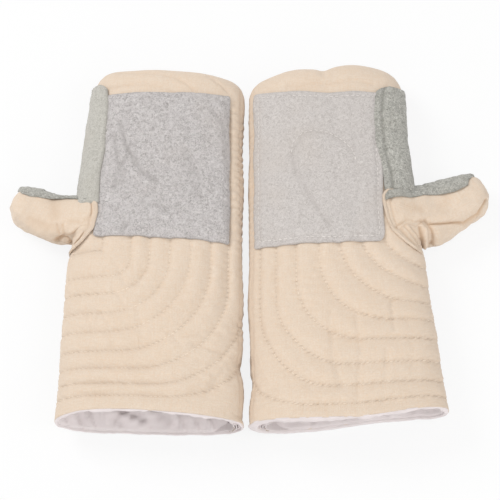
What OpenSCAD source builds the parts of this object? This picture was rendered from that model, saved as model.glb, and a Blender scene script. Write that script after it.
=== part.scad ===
// A pair of quilted cold-handling mittens with suede palm patches, lying palm up, thumbs outwards.
// Millimetres. +Z is up, the fingertips point to +Y, the arm openings to -Y.
// Each mitten is a flattened tube of three layers: canvas outside, batting, and a lining inside.
// A hand's surfaces are all one shape function, called with how far they lie inside the outside.

/* [Lengths] */
// Length of a mitten from its mouth to its fingertips
mitten_len = 370; // [330:1:450]
// Length of the cuff, from the mouth to the wrist fold
cuff_len = 160; // [120:1:175]
// Distance from the wrist fold to the lower end of the thumb opening
thumb_above_wrist = 12; // [6:1:24]
// Length of the thumb opening along the side of the hand
thumb_opening_len = 59; // [48:1:72]

/* [Widths] */
// Width of the left mitten's mouth, laid flat
left_mouth_w = 172; // [150:1:210]
// Width of the right mitten's mouth, laid flat
right_mouth_w = 182; // [150:1:210]
// Width at the wrist fold
wrist_w = 167; // [140:1:200]
// Width of the hand just above the crotch
hand_w = 158; // [130:1:190]
// Width at the fingertips, before the corners are rounded
finger_w = 152; // [120:1:185]
// Space between the two mittens at the hands
pair_gap = 4.4; // [1:0.2:12]

/* [Heights] */
// Height of the crown at the mouth
mouth_top = 56; // [46:1:70]
// Height of the crown at the wrist fold
wrist_top = 50; // [42:1:62]
// Height of the crown at the fingertips
finger_top = 43; // [36:1:54]
// Height of the side seam at the mouth
mouth_seam = 25; // [20:0.5:32]
// Height of the side seam at the fingertips
finger_seam = 20; // [17:0.5:26]

/* [Layers] */
// Thickness of the outer cotton canvas
canvas_t = 1.2; // [0.8:0.1:2]
// Thickness of the quilted batting
batting_t = 7.5; // [5:0.5:9]
// Thickness of the lining cloth
lining_t = 0.8; // [0.5:0.1:1.5]
// Thickness of the suede patch and strips
suede_t = 1.5; // [1:0.1:2.5]
// Width of the hem that closes the layers at the mouth, along the arm
hem_t = 1.6; // [1:0.1:4]

/* [Thumbs] */
// Length of the left thumb beyond its opening
left_thumb_len = 64; // [50:1:85]
// Length of the right thumb beyond its opening
right_thumb_len = 72; // [50:1:85]
// Width of the left thumb
left_thumb_w = 43; // [38:1:56]
// Width of the right thumb
right_thumb_w = 50; // [38:1:56]
// Half of the height of the thumb opening
thumb_open_h = 17.5; // [14:0.5:18.5]
// Angle of the left thumb above square to the hand
left_thumb_angle = 20; // [0:1:30]
// Angle of the right thumb above square to the hand
right_thumb_angle = 28; // [0:1:30]

/* [Suede] */
// Distance from the wrist fold to the lower edge of the palm patch
patch_above_wrist = 16; // [6:1:30]
// Distance from the upper edge of the palm patch to the fingertips
patch_below_tip = 38; // [34:1:60]
// Distance from the left mitten's inner edge to its patch
left_patch_in = 13; // [4:0.5:18]
// Distance from the right mitten's inner edge to its patch
right_patch_in = 5; // [4:0.5:18]
// Distance from the left patch to the mitten's outer edge, at the narrowest place
left_patch_out = 15; // [12:0.5:30]
// Distance from the right patch to the mitten's outer edge, at the narrowest place
right_patch_out = 23; // [12:0.5:30]

/* [Shape] */
// Roundness of the cross-section: 2 is an ellipse, more is boxier
squareness = 2.5; // [2:0.1:3.5]
// Radius of the rounded fingertip end, seen from the side
finger_round = 22; // [16:1:28]
// Radius of the two corners at the fingertips, seen from above
corner_r = 26; // [24:1:40]
// How far the inner finger corner falls back
finger_drop = 9; // [0:1:20]
// How far the outer end of the right mouth is set back
right_mouth_rise = 14; // [0:1:20]
// How far the outer end of the left mouth is set back
left_mouth_rise = 4; // [0:1:20]

/* [Hidden] */
LEFT = 0;
RIGHT = 1;
HANDS = [LEFT, RIGHT];
SIDE_NAME = ["left", "right"];
SIDE = [-1, 1];
PIECES = [
    "cuff_palm_canvas", "cuff_back_canvas", "cuff_palm_batting", "cuff_back_batting",
    "cuff_palm_lining", "cuff_back_lining", "cuff_hem",
    "hand_palm_canvas", "hand_back_canvas", "hand_palm_batting", "hand_back_batting",
    "hand_palm_lining", "hand_back_lining", "palm_patch", "edge_strip",
    "thumb_palm_canvas", "thumb_back_canvas", "thumb_palm_batting", "thumb_back_batting",
    "thumb_palm_lining", "thumb_back_lining", "thumb_strip"
];

PALM = 1;  // the upper half of a mitten as it lies
BACK = -1; // the lower half
CREAM = [0.91, 0.83, 0.74];
PALE_SUEDE = [0.78, 0.76, 0.74];
GREEN_SUEDE = [0.70, 0.69, 0.66];
WADDING = [0.95, 0.94, 0.90];
LINING_WHITE = [0.88, 0.84, 0.83];

mouth_w = [left_mouth_w, right_mouth_w];
mouth_rise = [left_mouth_rise, right_mouth_rise];
thumb_angle = [left_thumb_angle, right_thumb_angle];
thumb_len = [left_thumb_len, right_thumb_len];
thumb_w = [left_thumb_w, right_thumb_w];
patch_in = [left_patch_in, right_patch_in];
patch_out = [left_patch_out, right_patch_out];

fold_gap = 0.3;                            // between two bodies at a fold
seat_gap = 0.3;                            // under suede laid on the crowned canvas
trim_gap = 0.8;                            // between the patch and the strip beside it
canvas_in = canvas_t;                      // how deep each face of the layers lies
batting_in = canvas_in + batting_t;
lining_in = batting_in + lining_t;
floor_sink = 3;                            // how much of the belly is pressed flat by the floor
inner_edge = pair_gap / 2;
end_start = mitten_len - finger_round;     // where the fingertip rounding starts
thumb_lo = cuff_len + thumb_above_wrist;   // the two ends of the thumb opening
crotch_at = thumb_lo + thumb_opening_len;
patch_lo = cuff_len + patch_above_wrist;   // the two ends of the palm patch
patch_hi = mitten_len - patch_below_tip;
opening_mid = (thumb_lo + crotch_at) / 2;
opening_half = thumb_opening_len / 2;
thumb_neck = 18;                           // over this length the opening becomes the thumb's section
thumb_round = 15;                          // radius of the thumb's tip, seen from the side
thumb_tip_share = 0.3;                     // of the thumb's width that is left at its very tip
thumb_seam = 17.6;                         // height of the thumb's side seams beyond the neck
strip_hi = end_start - 2;                  // where the finger edge strip ends
strip_lo = crotch_at + 3;
patch_clear_t = 0.02;                      // least share of a section between two columns of the patch
ARC = 10;                                  // steps round half of a cross-section
THUMB_ARC = 8;

// The tip of each thumb, measured outwards from the line between the mittens.
function thumb_reach(h) = max([for (r = thumb_rows(h), t = arc_t(THUMB_ARC))
    abs(thumb_point(h, r, t, 0, PALM, 0)[0])]);
function thumb_straight(h) = thumb_len[h] - thumb_round;
pair_line = (thumb_reach(LEFT) - thumb_reach(RIGHT)) / 2; // so that the pair is centred on X = 0

// Width of the tube at a distance from the mouth.
function tube_w(h, v) =
    lookup(v, [[0, mouth_w[h]], [cuff_len, wrist_w], [crotch_at, hand_w], [mitten_len, finger_w]]);
function outer_edge(h, v) = inner_edge + tube_w(h, v);
function crown(v) = lookup(v, [[0, mouth_top], [cuff_len, wrist_top], [mitten_len, finger_top]]);
function seam(v) = lookup(v, [[0, mouth_seam], [mitten_len, finger_seam]]);
// Half height of the thumb opening at a distance from the mouth, for the face that lies in by d.
function opening(v, d) = abs(v - opening_mid) < opening_half - d
    ? (thumb_open_h - d) * sqrt(1 - pow((v - opening_mid) / (opening_half - d), 2))
    : 0;
// Height of a section at t, from -1 at its inner edge to 1, over a rise, ending at the height lip.
function bulge(t, rise, lip) =
    rise * pow(1 - (1 - pow(lip / max(rise, 0.01), squareness)) * pow(abs(t), squareness), 1 / squareness);
function along(v, phi, d) = phi > 0 ? end_start + (finger_round - d) * sin(phi) : v;
function corner_nip(v, d) =
    let (r = corner_r - d, over = max(0, v - (mitten_len - corner_r)))
    r - sqrt(max(0, r * r - over * over));
function half_w(h, v, d, outwards) =
    tube_w(h, v) / 2 - corner_nip(v, d) - (outwards && opening(v, d) > 0 ? fold_gap / 2 : d);
function middle(h, v) = inner_edge + tube_w(h, v) / 2;
// How far a point is set back towards the fingertips, from the slant of the two ends.
function set_back(h, v, t) =
    let (share = min(1, max(0, (1 + t) / 2)))
    mouth_rise[h] * pow(share, 2) * max(0, 1 - v / cuff_len)
    - finger_drop * pow(1 - share, 3) * max(0, (v - crotch_at) / (mitten_len - crotch_at));

// A point of the hand or cuff. A row is [distance from the mouth, angle round the fingertip end].
function tube_point(h, row, t, d, half) =
    let (
        v = along(row[0], row[1], d),
        u = middle(h, v) + half_w(h, v, d, t > 0) * t,
        lip = t > 0 ? opening(v, d) : 0,
        rise = (half == PALM ? crown(v) - seam(v) : seam(v) + floor_sink) - d,
        lift = bulge(t, rise, min(lip, rise)) * cos(row[1])
    )
    [pair_line + SIDE[h] * u,
     v - mitten_len / 2 + set_back(h, v, t),
     half == PALM ? seam(v) + lift : max(d, seam(v) - lift)];

// A point of the thumb. A row is [distance from the opening, angle round the tip].
function thumb_point(h, row, t, d, half, line = pair_line) =
    let (
        a = thumb_angle[h],
        out = row[1] > 0 ? thumb_straight(h) + (thumb_round - d) * sin(row[1]) : row[0],
        blend = min(1, out / thumb_neck),
        v0 = opening_mid + t * (opening_half - d),
        base = [outer_edge(h, v0) + fold_gap / 2, v0],
        w = (thumb_w[h] / 2 - d) * (1 - (1 - thumb_tip_share) * (1 - cos(row[1]))),
        start = [outer_edge(h, opening_mid) + fold_gap / 2, opening_mid],
        far = start + out * [cos(a), sin(a)] + t * w * [-sin(a), cos(a)],
        plan = base * (1 - blend) + far * blend,
        s = seam(v0) * (1 - blend) + thumb_seam * blend,
        lens = (thumb_open_h - d) * sqrt(max(0, 1 - t * t)),
        round_h = bulge(t, thumb_open_h - d, 0) * cos(row[1]),
        lift = lens * (1 - blend) + round_h * blend
    )
    [line + SIDE[h] * plan[0],
     plan[1] - mitten_len / 2,
     half == PALM ? s + lift : max(d, s - lift)];

function arc_t(steps) = [for (j = [0 : steps]) sin(-90 + 180 * j / steps)];
function tube_face(h, rows, d, half) =
    [for (r = rows) [for (t = arc_t(ARC)) tube_point(h, r, t, d, half)]];
function thumb_face(h, rows, d, half) =
    [for (r = rows) [for (t = arc_t(THUMB_ARC)) thumb_point(h, r, t, d, half)]];

function flat_list(rows) = [for (r = rows) each r];
// Two triangles for a four-sided face, always split on the diagonal b-d, so that the layers bend alike.
function quad(a, b, c, d, turned) = turned ? [[b, a, d], [b, d, c]] : [[b, d, a], [b, c, d]];

// A closed solid between two grids of points of the same size. A ring joins its last column to its
// first; otherwise the side edges are closed too.
module sheet_solid(outer, inner, turned, ring = false) {
    rows = len(outer);
    cols = len(outer[0]);
    span = ring ? cols : cols - 1;
    below = rows * cols;
    function at(i, j) = i * cols + (j % cols);
    faces = [
        for (i = [0 : rows - 2], j = [0 : span - 1])
            each quad(below + at(i, j), below + at(i + 1, j), below + at(i + 1, j + 1),
                      below + at(i, j + 1), !turned),
        for (i = [0 : rows - 2], j = [0 : span - 1])
            each quad(at(i, j), at(i + 1, j), at(i + 1, j + 1), at(i, j + 1), turned),
        for (j = [0 : span - 1])
            each quad(at(0, j), at(0, j + 1), below + at(0, j + 1), below + at(0, j), turned),
        for (j = [0 : span - 1])
            each quad(at(rows - 1, j), at(rows - 1, j + 1), below + at(rows - 1, j + 1),
                      below + at(rows - 1, j), !turned),
        if (!ring) for (i = [0 : rows - 2])
            each quad(at(i, 0), at(i + 1, 0), below + at(i + 1, 0), below + at(i, 0), !turned),
        if (!ring) for (i = [0 : rows - 2])
            each quad(at(i, cols - 1), at(i + 1, cols - 1), below + at(i + 1, cols - 1),
                      below + at(i, cols - 1), turned)
    ];
    polyhedron(points = concat(flat_list(outer), flat_list(inner)), faces = faces);
}

// Faces turn the other way on a mirrored mitten and on its lower half.
function is_turned(h, half) = SIDE[h] * half < 0;

layers_lo = hem_t + seat_gap; // the layers start just inside the hem
CUFF_ROWS = [for (k = [0 : 4]) [layers_lo + (cuff_len - fold_gap / 2 - layers_lo) * k / 4, 0]];
HAND_ROWS = [
    [cuff_len + fold_gap / 2, 0],
    for (s = [-1, -0.85, -0.6, -0.25, 0.25, 0.6, 0.85, 1]) [opening_mid + s * opening_half, 0],
    for (k = [1 : 4]) [crotch_at + (end_start - crotch_at) * k / 4, 0],
    for (phi = [30, 60, 90]) [end_start, phi]
];
function thumb_rows(h) = [
    [0, 0], [thumb_neck / 2, 0], [thumb_neck, 0],
    [(thumb_neck + thumb_straight(h)) / 2, 0], [thumb_straight(h), 0],
    for (phi = [30, 60, 90]) [thumb_straight(h), phi]
];

module tube_layer(h, rows, d_out, d_in, half) {
    sheet_solid(tube_face(h, rows, d_out, half), tube_face(h, rows, d_in, half), is_turned(h, half));
}

module thumb_layer(h, d_out, d_in, half) {
    rows = thumb_rows(h);
    sheet_solid(thumb_face(h, rows, d_out, half), thumb_face(h, rows, d_in, half),
                !is_turned(h, half));
}

module cuff_palm_canvas(h) {
    color(CREAM) tube_layer(h, CUFF_ROWS, 0, canvas_in, PALM);
}

module cuff_back_canvas(h) {
    color(CREAM) tube_layer(h, CUFF_ROWS, 0, canvas_in, BACK);
}

module cuff_palm_batting(h) {
    color(WADDING) tube_layer(h, CUFF_ROWS, canvas_in, batting_in, PALM);
}

module cuff_back_batting(h) {
    color(WADDING) tube_layer(h, CUFF_ROWS, canvas_in, batting_in, BACK);
}

module cuff_palm_lining(h) {
    color(LINING_WHITE) tube_layer(h, CUFF_ROWS, batting_in, lining_in, PALM);
}

module cuff_back_lining(h) {
    color(LINING_WHITE) tube_layer(h, CUFF_ROWS, batting_in, lining_in, BACK);
}

// The turned-in hem: one ring over the ends of all three layers.
module cuff_hem(h) {
    rows = [[0, 0], [hem_t, 0]];
    ts = arc_t(ARC);
    function loop(r, d) = [
        for (j = [0 : ARC]) tube_point(h, r, ts[j], d, PALM),
        for (j = [ARC - 1 : -1 : 1]) tube_point(h, r, ts[j], d, BACK)
    ];
    color(LINING_WHITE)
        sheet_solid([for (r = rows) loop(r, 0)], [for (r = rows) loop(r, lining_in)],
                    is_turned(h, PALM), ring = true);
}

module hand_palm_canvas(h) {
    color(CREAM) tube_layer(h, HAND_ROWS, 0, canvas_in, PALM);
}

module hand_back_canvas(h) {
    color(CREAM) tube_layer(h, HAND_ROWS, 0, canvas_in, BACK);
}

module hand_palm_batting(h) {
    color(WADDING) tube_layer(h, HAND_ROWS, canvas_in, batting_in, PALM);
}

module hand_back_batting(h) {
    color(WADDING) tube_layer(h, HAND_ROWS, canvas_in, batting_in, BACK);
}

module hand_palm_lining(h) {
    color(LINING_WHITE) tube_layer(h, HAND_ROWS, batting_in, lining_in, PALM);
}

module hand_back_lining(h) {
    color(LINING_WHITE) tube_layer(h, HAND_ROWS, batting_in, lining_in, BACK);
}

// The patch's two side edges, measured outwards like the widths.
function patch_inner(h) = inner_edge + patch_in[h];
function patch_outer(h) = inner_edge + min(hand_w, finger_w) - patch_out[h];

// Where a distance outwards lies across a section, for the face raised by an amount.
function patch_t(h, v, u, raised) =
    (u - middle(h, v)) / half_w(h, v, -seat_gap - raised, u > middle(h, v));

// The patch bends along the same lines as the canvas under it, so that the two stay parallel.
module palm_patch(h) {
    bend_vs = [for (r = HAND_ROWS) if (r[1] == 0 && r[0] > patch_lo && r[0] < patch_hi) r[0]];
    mid_v = (patch_lo + patch_hi) / 2;
    t_lo = patch_t(h, mid_v, patch_inner(h), 0) + patch_clear_t;
    t_hi = patch_t(h, mid_v, patch_outer(h), 0) - patch_clear_t;
    bend_ts = [for (t = arc_t(ARC)) if (t > t_lo && t < t_hi) t];
    function ts(v, raised) =
        let (
            first = patch_t(h, v, patch_inner(h), raised),
            last = patch_t(h, v, patch_outer(h), raised)
        )
        [first, for (t = bend_ts) max(first + patch_clear_t, min(last - patch_clear_t, t)), last];
    function grid(raised) = [
        for (v = [patch_lo, each bend_vs, patch_hi])
            [for (t = ts(v, raised)) tube_point(h, [v, 0], t, -seat_gap - raised, PALM)]
    ];
    color(PALE_SUEDE) sheet_solid(grid(suede_t), grid(0), is_turned(h, PALM));
}

// The strip round the finger edge, from the patch down to the side seam.
module edge_strip(h) {
    rows = 8;
    cols = 5;
    from_u = patch_outer(h) + trim_gap;
    function grid(raised) = [
        for (i = [0 : rows])
            let (
                v = strip_lo + (strip_hi - strip_lo) * i / rows,
                d = -seat_gap - raised,
                t0 = (from_u - middle(h, v)) / half_w(h, v, d, true)
            )
            [for (j = [0 : cols]) tube_point(h, [v, 0], t0 + (1 - t0) * sin(90 * j / cols), d, PALM)]
    ];
    color(GREEN_SUEDE) sheet_solid(grid(suede_t), grid(0), is_turned(h, PALM));
}

module thumb_palm_canvas(h) {
    color(CREAM) thumb_layer(h, 0, canvas_in, PALM);
}

module thumb_back_canvas(h) {
    color(CREAM) thumb_layer(h, 0, canvas_in, BACK);
}

module thumb_palm_batting(h) {
    color(WADDING) thumb_layer(h, canvas_in, batting_in, PALM);
}

module thumb_back_batting(h) {
    color(WADDING) thumb_layer(h, canvas_in, batting_in, BACK);
}

module thumb_palm_lining(h) {
    color(LINING_WHITE) thumb_layer(h, batting_in, lining_in, PALM);
}

module thumb_back_lining(h) {
    color(LINING_WHITE) thumb_layer(h, batting_in, lining_in, BACK);
}

// The strip along the thumb's upper side, which faces the fingers.
module thumb_strip(h) {
    rows = 6;
    cols = 4;
    from_t = 0.45;
    function grid(raised) = [
        for (i = [0 : rows])
            let (out = thumb_neck + (thumb_straight(h) - thumb_neck) * i / rows)
            [for (j = [0 : cols])
                thumb_point(h, [out, 0], from_t + (1 - from_t) * sin(90 * j / cols),
                            -seat_gap - raised, PALM)]
    ];
    color(GREEN_SUEDE) sheet_solid(grid(suede_t), grid(0), !is_turned(h, PALM));
}

for (h = HANDS) {
    side = SIDE_NAME[h];
    cuff_palm_canvas(h);
    cuff_back_canvas(h);
    cuff_palm_batting(h);
    cuff_back_batting(h);
    cuff_palm_lining(h);
    cuff_back_lining(h);
    cuff_hem(h);
    hand_palm_canvas(h);
    hand_back_canvas(h);
    hand_palm_batting(h);
    hand_back_batting(h);
    hand_palm_lining(h);
    hand_back_lining(h);
    palm_patch(h);
    edge_strip(h);
    thumb_palm_canvas(h);
    thumb_back_canvas(h);
    thumb_palm_batting(h);
    thumb_back_batting(h);
    thumb_palm_lining(h);
    thumb_back_lining(h);
    thumb_strip(h);
}
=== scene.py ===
# %% [markdown]
# # A pair of quilted cold-handling mittens
# Each mitten is a flattened tube of padded canvas with a cloth lining, a thumb sewn into its side, and
# suede where it grips. The imported CAD model is the fixed frame: it gives every place and size, and the
# cloth is shaped round it. We load it first.

# %% Load the frame
import math

import bmesh
import bpy
import numpy as np
from mathutils import Matrix, Vector


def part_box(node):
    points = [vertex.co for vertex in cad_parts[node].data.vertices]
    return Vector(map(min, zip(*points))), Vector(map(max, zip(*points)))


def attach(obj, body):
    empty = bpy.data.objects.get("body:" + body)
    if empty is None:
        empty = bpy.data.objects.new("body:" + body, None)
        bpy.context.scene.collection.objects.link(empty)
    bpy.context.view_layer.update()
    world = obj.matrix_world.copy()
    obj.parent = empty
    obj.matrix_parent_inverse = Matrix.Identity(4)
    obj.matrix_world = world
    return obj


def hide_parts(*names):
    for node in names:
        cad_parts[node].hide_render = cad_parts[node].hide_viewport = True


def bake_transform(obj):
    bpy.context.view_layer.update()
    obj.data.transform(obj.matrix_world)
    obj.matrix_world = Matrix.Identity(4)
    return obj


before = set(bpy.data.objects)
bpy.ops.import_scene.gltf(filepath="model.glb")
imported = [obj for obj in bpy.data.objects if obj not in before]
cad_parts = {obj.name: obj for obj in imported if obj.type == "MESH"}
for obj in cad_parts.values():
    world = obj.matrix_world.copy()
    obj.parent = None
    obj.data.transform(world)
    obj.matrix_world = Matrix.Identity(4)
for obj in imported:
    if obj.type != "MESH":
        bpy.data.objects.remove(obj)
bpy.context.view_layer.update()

HANDS = ("left", "right")
SIDE = {"left": -1.0, "right": 1.0}

# %% [markdown]
# ## Measuring the frame
# The cloth follows the frame's own sizes, so they are read from its nodes. All shaping below is in
# millimetres, measured as a maker would: `v` runs from the mouth of the cuff to the fingertips, and `u`
# runs outwards from the line between the two mittens, towards the thumb.

# %% Read each mitten's sizes
def points_of(node):
    """A CAD node's vertices, in millimetres."""
    return np.array([v.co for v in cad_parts[node].data.vertices], float) * 1000


def width_near(points, y, reach=5.0):
    """The width and the greatest height of a node close to one place along it."""
    near = points[np.abs(points[:, 1] - y) < reach]
    return near[:, 0].max() - near[:, 0].min(), near[:, 2].max()


LENGTH = (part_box("left_hand_palm_canvas")[1].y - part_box("left_cuff_hem")[0].y) * 1000
WRIST = LENGTH / 2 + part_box("left_hand_palm_canvas")[0].y * 1000
STRIP_RAISED = 3  # how far above the crotch of the thumb the frame's strip ends
CROTCH = LENGTH / 2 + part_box("left_edge_strip")[0].y * 1000 - STRIP_RAISED
INNER_X = {h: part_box(h + "_cuff_palm_canvas")[1 if h == "left" else 0].x * 1000 for h in HANDS}
PAIR_LINE = (INNER_X["left"] + INNER_X["right"]) / 2
INNER = (INNER_X["right"] - INNER_X["left"]) / 2
FINGER_R = 22.0  # how round the fingertip end is from the side
CORNER_R = 26.0  # how round its corners are from above
WALL = 8.7  # canvas and batting together
END = LENGTH - FINGER_R
SIZE = {}
for h in HANDS:
    hem_lo, hem_hi = (Vector(c) * 1000 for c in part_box(h + "_cuff_hem"))
    hand = points_of(h + "_hand_palm_canvas")
    wrist_w, wrist_top = width_near(hand, WRIST - LENGTH / 2, 1)
    crotch_w, _ = width_near(hand, CROTCH - LENGTH / 2, 2)
    finger_w, finger_top = width_near(hand, END - LENGTH / 2)
    SIZE[h] = {
        "v": [0.0, WRIST, CROTCH, END, LENGTH],
        "w": [hem_hi.x - hem_lo.x, wrist_w, crotch_w, finger_w, finger_w - 0.9],
        "top_v": [0.0, WRIST, END, LENGTH],
        "top": [hem_hi.z, wrist_top, finger_top, finger_top - 0.7],
        "rise": hem_hi.y - hem_lo.y - 1.6,
    }
    print(h, {k: np.round(v, 1).tolist() for k, v in SIZE[h].items()})
PATCH = {}
for h in HANDS:
    lo, hi = (Vector(c) * 1000 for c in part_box(h + "_palm_patch"))
    reach_u = sorted([(lo.x - PAIR_LINE) * SIDE[h], (hi.x - PAIR_LINE) * SIDE[h]])
    PATCH[h] = {"u": reach_u, "v": [lo.y + LENGTH / 2, hi.y + LENGTH / 2]}
    print(h, "patch from", np.round(reach_u, 1), "and", np.round(PATCH[h]["v"], 1))
print("length", round(LENGTH, 1), "wrist", round(WRIST, 1), "crotch", round(CROTCH, 1))

# %% [markdown]
# ## The form of a mitten
# A laid mitten's cross-section is a soft pillow: a superellipse, lower at the fingers than at the mouth,
# pressed flat where it lies. `form` gives the point at a distance along the cloth, `run`, and a share of
# the way round, `turn`, from the inner side over the palm (0 to 0.5) and back under it (0.5 to 1). `deep`
# is how far inside the outer face it lies. Working on whole arrays at once keeps it fast.

# %% The outer form
ROUNDNESS = 2.5
FLOOR_SINK = 3.0  # how far the form reaches below the table before it is pressed flat
RUN = END + FINGER_R * math.pi / 2
DROP = 9.0  # how much shorter the inner side is at the fingertips
MOUTH_LINE = {  # how far the upper edge of the mouth stands back, across from the inner side
    "left": ([10, 50, 100, 150, 172], [1.0, 3.5, 6.0, 6.5, 5.0]),
    "right": ([10, 60, 100, 150, 182], [0.5, -2.0, -4.0, 0.0, 2.5]),
}
LOW_LINE = {  # and how far its lower edge does
    "left": ([10, 172], [0, 0]),
    "right": ([10, 60, 110, 160, 182], [0, 2.0, 5.5, 6.0, 2.0]),
}
END_MOUNDS = {  # where the fingertip end bulges or dips, by how much, and the half width
    "left": [],
    "right": [(106, 5.0, 22), (45, 3.0, 24), (76, -2.5, 7)],
}
FULLER_CORNER = {"left": 0.0, "right": 3.5}  # how far the outer fingertip corner is let out


def smooth(t):
    """Rises gently from 0 to 1."""
    t = np.clip(t, 0, 1)
    return t * t * (3 - 2 * t)


def ridge(x, at, reach):
    """1 at a place, falling off to either side of it."""
    return np.exp(-((x - at) / reach) ** 2)


def by_mouth(v, reach):
    """1 at the mouth, fading evenly to 0."""
    return np.maximum(0, 1 - v / reach)


def width(h, v):
    return np.interp(v, SIZE[h]["v"], SIZE[h]["w"])


def seam_height(v):
    return np.interp(v, [0, LENGTH], [25, 20])


def nip(v, deep):
    """How far the sides are drawn in round the fingertip corners."""
    r = CORNER_R - deep
    over = np.clip(v - (LENGTH - CORNER_R), 0, r)
    return r - np.sqrt(np.maximum(0, r * r - over * over))


def half_width(h, v, deep):
    return width(h, v) / 2 - nip(v, deep) - deep


def middle(h, v):
    return INNER + width(h, v) / 2


def form(h, run, turn, deep=0.0):
    """The point, and its distances outwards and from the mouth."""
    phi = np.clip((run - END) / FINGER_R, 0, math.pi / 2)
    v = np.where(phi > 0, END + (FINGER_R - deep) * np.sin(phi), run)
    across = -np.cos(2 * np.pi * turn)
    u = middle(h, v) + half_width(h, v, deep) * across
    palm = turn <= 0.5
    seam = seam_height(v)
    rise = np.where(palm, np.interp(v, SIZE[h]["top_v"], SIZE[h]["top"]) - seam, seam + FLOOR_SINK) - deep
    lift = rise * np.power(np.maximum(0, 1 - np.abs(across) ** ROUNDNESS), 1 / ROUNDNESS) * np.cos(phi)
    below = seam - lift
    pressed = deep + 0.5 * (below - deep + np.sqrt((below - deep) ** 2 + 1.0)) - 0.3
    share = np.clip((1 + across) / 2, 0, 1)
    back = SIZE[h]["rise"] * share ** 2 * by_mouth(v, WRIST)
    back = back - DROP * (1 - share) ** 3 * np.maximum(0, (v - CROTCH) / (LENGTH - CROTCH))
    upper = np.interp(u, *MOUTH_LINE[h]) * by_mouth(v, 35)
    lower = np.interp(u, *LOW_LINE[h]) * by_mouth(v, 30)
    back = back + np.where(palm, upper, lower) * (1 - np.abs(across) ** 4)
    for at, high, reach in END_MOUNDS[h]:
        back = back + high * smooth((v - 325) / 40) * ridge(u, at, reach)
    u = u + FULLER_CORNER[h] * share ** 2 * smooth((v - 288) / 55)
    z = np.where(palm, seam + lift, np.maximum(deep, pressed))
    return np.stack([PAIR_LINE + SIDE[h] * u, v - LENGTH / 2 + back, z], axis=-1), u, v


def turn_of(h, v, u, palm=True):
    """The share of the way round at which a distance outwards lies."""
    across = np.clip((u - middle(h, v)) / half_width(h, v, 0), -1, 1)
    turn = np.arccos(-across) / (2 * np.pi)
    return turn if palm else 1 - turn


def normals(point_at, a, b, da=0.4, db=0.002):
    """Outward directions of a surface given by two coordinates, from its slopes."""
    slope_a = point_at(a + da, b) - point_at(a - da, b)
    slope_b = point_at(a, b + db) - point_at(a, b - db)
    n = np.cross(slope_a, slope_b)
    return n / np.maximum(1e-9, np.linalg.norm(n, axis=-1, keepdims=True))


print("cloth runs", round(RUN, 1), "mm from mouth to fingertip seam")

# %% [markdown]
# ## Quilting
# The padding is held by rows of stitching that nest one in the next: straight up the palm, then a quarter
# turn to leave at the thumb side. `nest` measures how far out a point is in that pattern, so each row is a
# level of it. Between two rows the cloth puffs up, and at a row it is pulled down and puckers.

# %% The quilting pattern
CORNER_AT = {"left": (127.5, 158.5), "right": (170.0, 195.0)}  # the innermost corner of the nest
ROWS = {
    "left": [-30, -8, 19, 36.7, 56, 75.3, 94.5, 111.5, 127, 140.5, 168, 190],
    "right": [-30, -8, 21, 45, 66, 83, 102.5, 124, 143, 158, 178, 200],
}
TURN_R = {"left": 86.0, "right": 64.0}  # the radius at which a row turns
DRIFT = {  # rows aren't evenly spaced: distances from the mouth, and the even ones that they stand for
    "left": ([-50, 400], [-50, 400]),
    "right": ([-20, 13.5, 29.6, 50, 74, 94, 113, 132, 153, 193, 400],
              [-16.5, 17, 37, 52, 71, 92.5, 112, 129, 150, 190, 400]),
}
WORN = [(118, 128), (90, 92), (42, 56)]  # where the left cuff is crumpled and its rows fade
STITCH = 4.4  # from the start of one stitch to the start of the next
QUILT_DEEP = 2.5  # how far a row pulls the canvas down


def nest(h, u, v):
    """How far out a point is in the nested rows, and how far along its row."""
    turn_r = TURN_R[h]
    du, dv = CORNER_AT[h][0] - u, CORNER_AT[h][1] - np.interp(v, *DRIFT[h])
    s = (du + dv - np.sqrt(np.maximum(0, 2 * turn_r ** 2 - (du - dv) ** 2))) / 2
    level = np.where(np.minimum(du, dv) < s, np.maximum(du, dv), s + turn_r)
    level = np.where(s <= 0, np.where(np.minimum(du, dv) < 0, np.maximum(du, dv), np.hypot(du, dv)), level)
    r = np.clip(level, 1, turn_r)
    a, b = du - (level - r), dv - (level - r)
    turned = level - r + r * np.arctan2(np.maximum(b, 0), np.maximum(a, 1e-6))
    along = np.where(b <= 0, dv, np.where(a <= 0, 2 * (level - r) + r * math.pi / 2 - du, turned))
    return level, along


def puff(h, u, v):
    """1 midway between rows and 0 at one; the distance to the nearest row, its number and the way along."""
    rows = np.array(ROWS[h], float)
    level, along = nest(h, u, v)
    i = np.clip(np.searchsorted(rows, level) - 1, 0, len(rows) - 2)
    q = np.clip((level - rows[i]) / (rows[i + 1] - rows[i]), 0, 1)
    away = np.minimum(level - rows[i], rows[i + 1] - level)
    lean = q ** 1.4 if h == "right" else 1 - (1 - q) ** 1.4
    return 1 - np.abs(2 * lean - 1) ** 2.1, np.maximum(away, 0), np.where(q < 0.5, i, i + 1), along


def waves(p, size, seed):
    """Smooth unevenness between about -1 and 1, from a few crossing waves."""
    rng = np.random.default_rng(seed)
    total = 0.0
    for _ in range(7):
        d = rng.normal(size=3)
        d *= 2 * np.pi / np.linalg.norm(d) / (size * rng.uniform(0.65, 1.5))
        total = total + np.sin(p @ d + rng.uniform(0, 6.28))
    return total / 3.2


# %% [markdown]
# ## Creases and relief
# Cloth that has been used keeps its creases, so each mitten has its own. A crease is a line drawn on the
# cloth, with a depth and a half width. `relief` adds up the puffs, puckers and creases into one height off
# the form.

# %% Work with drawn lines
def walk(line, step):
    """Evenly spaced points along a drawn line."""
    line = np.array(line, float)
    at = np.r_[0, np.cumsum(np.linalg.norm(np.diff(line, axis=0), axis=1))]
    places = np.arange(0, at[-1], step)
    return np.stack([np.interp(places, at, line[:, i]) for i in range(line.shape[1])], axis=-1)


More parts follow.
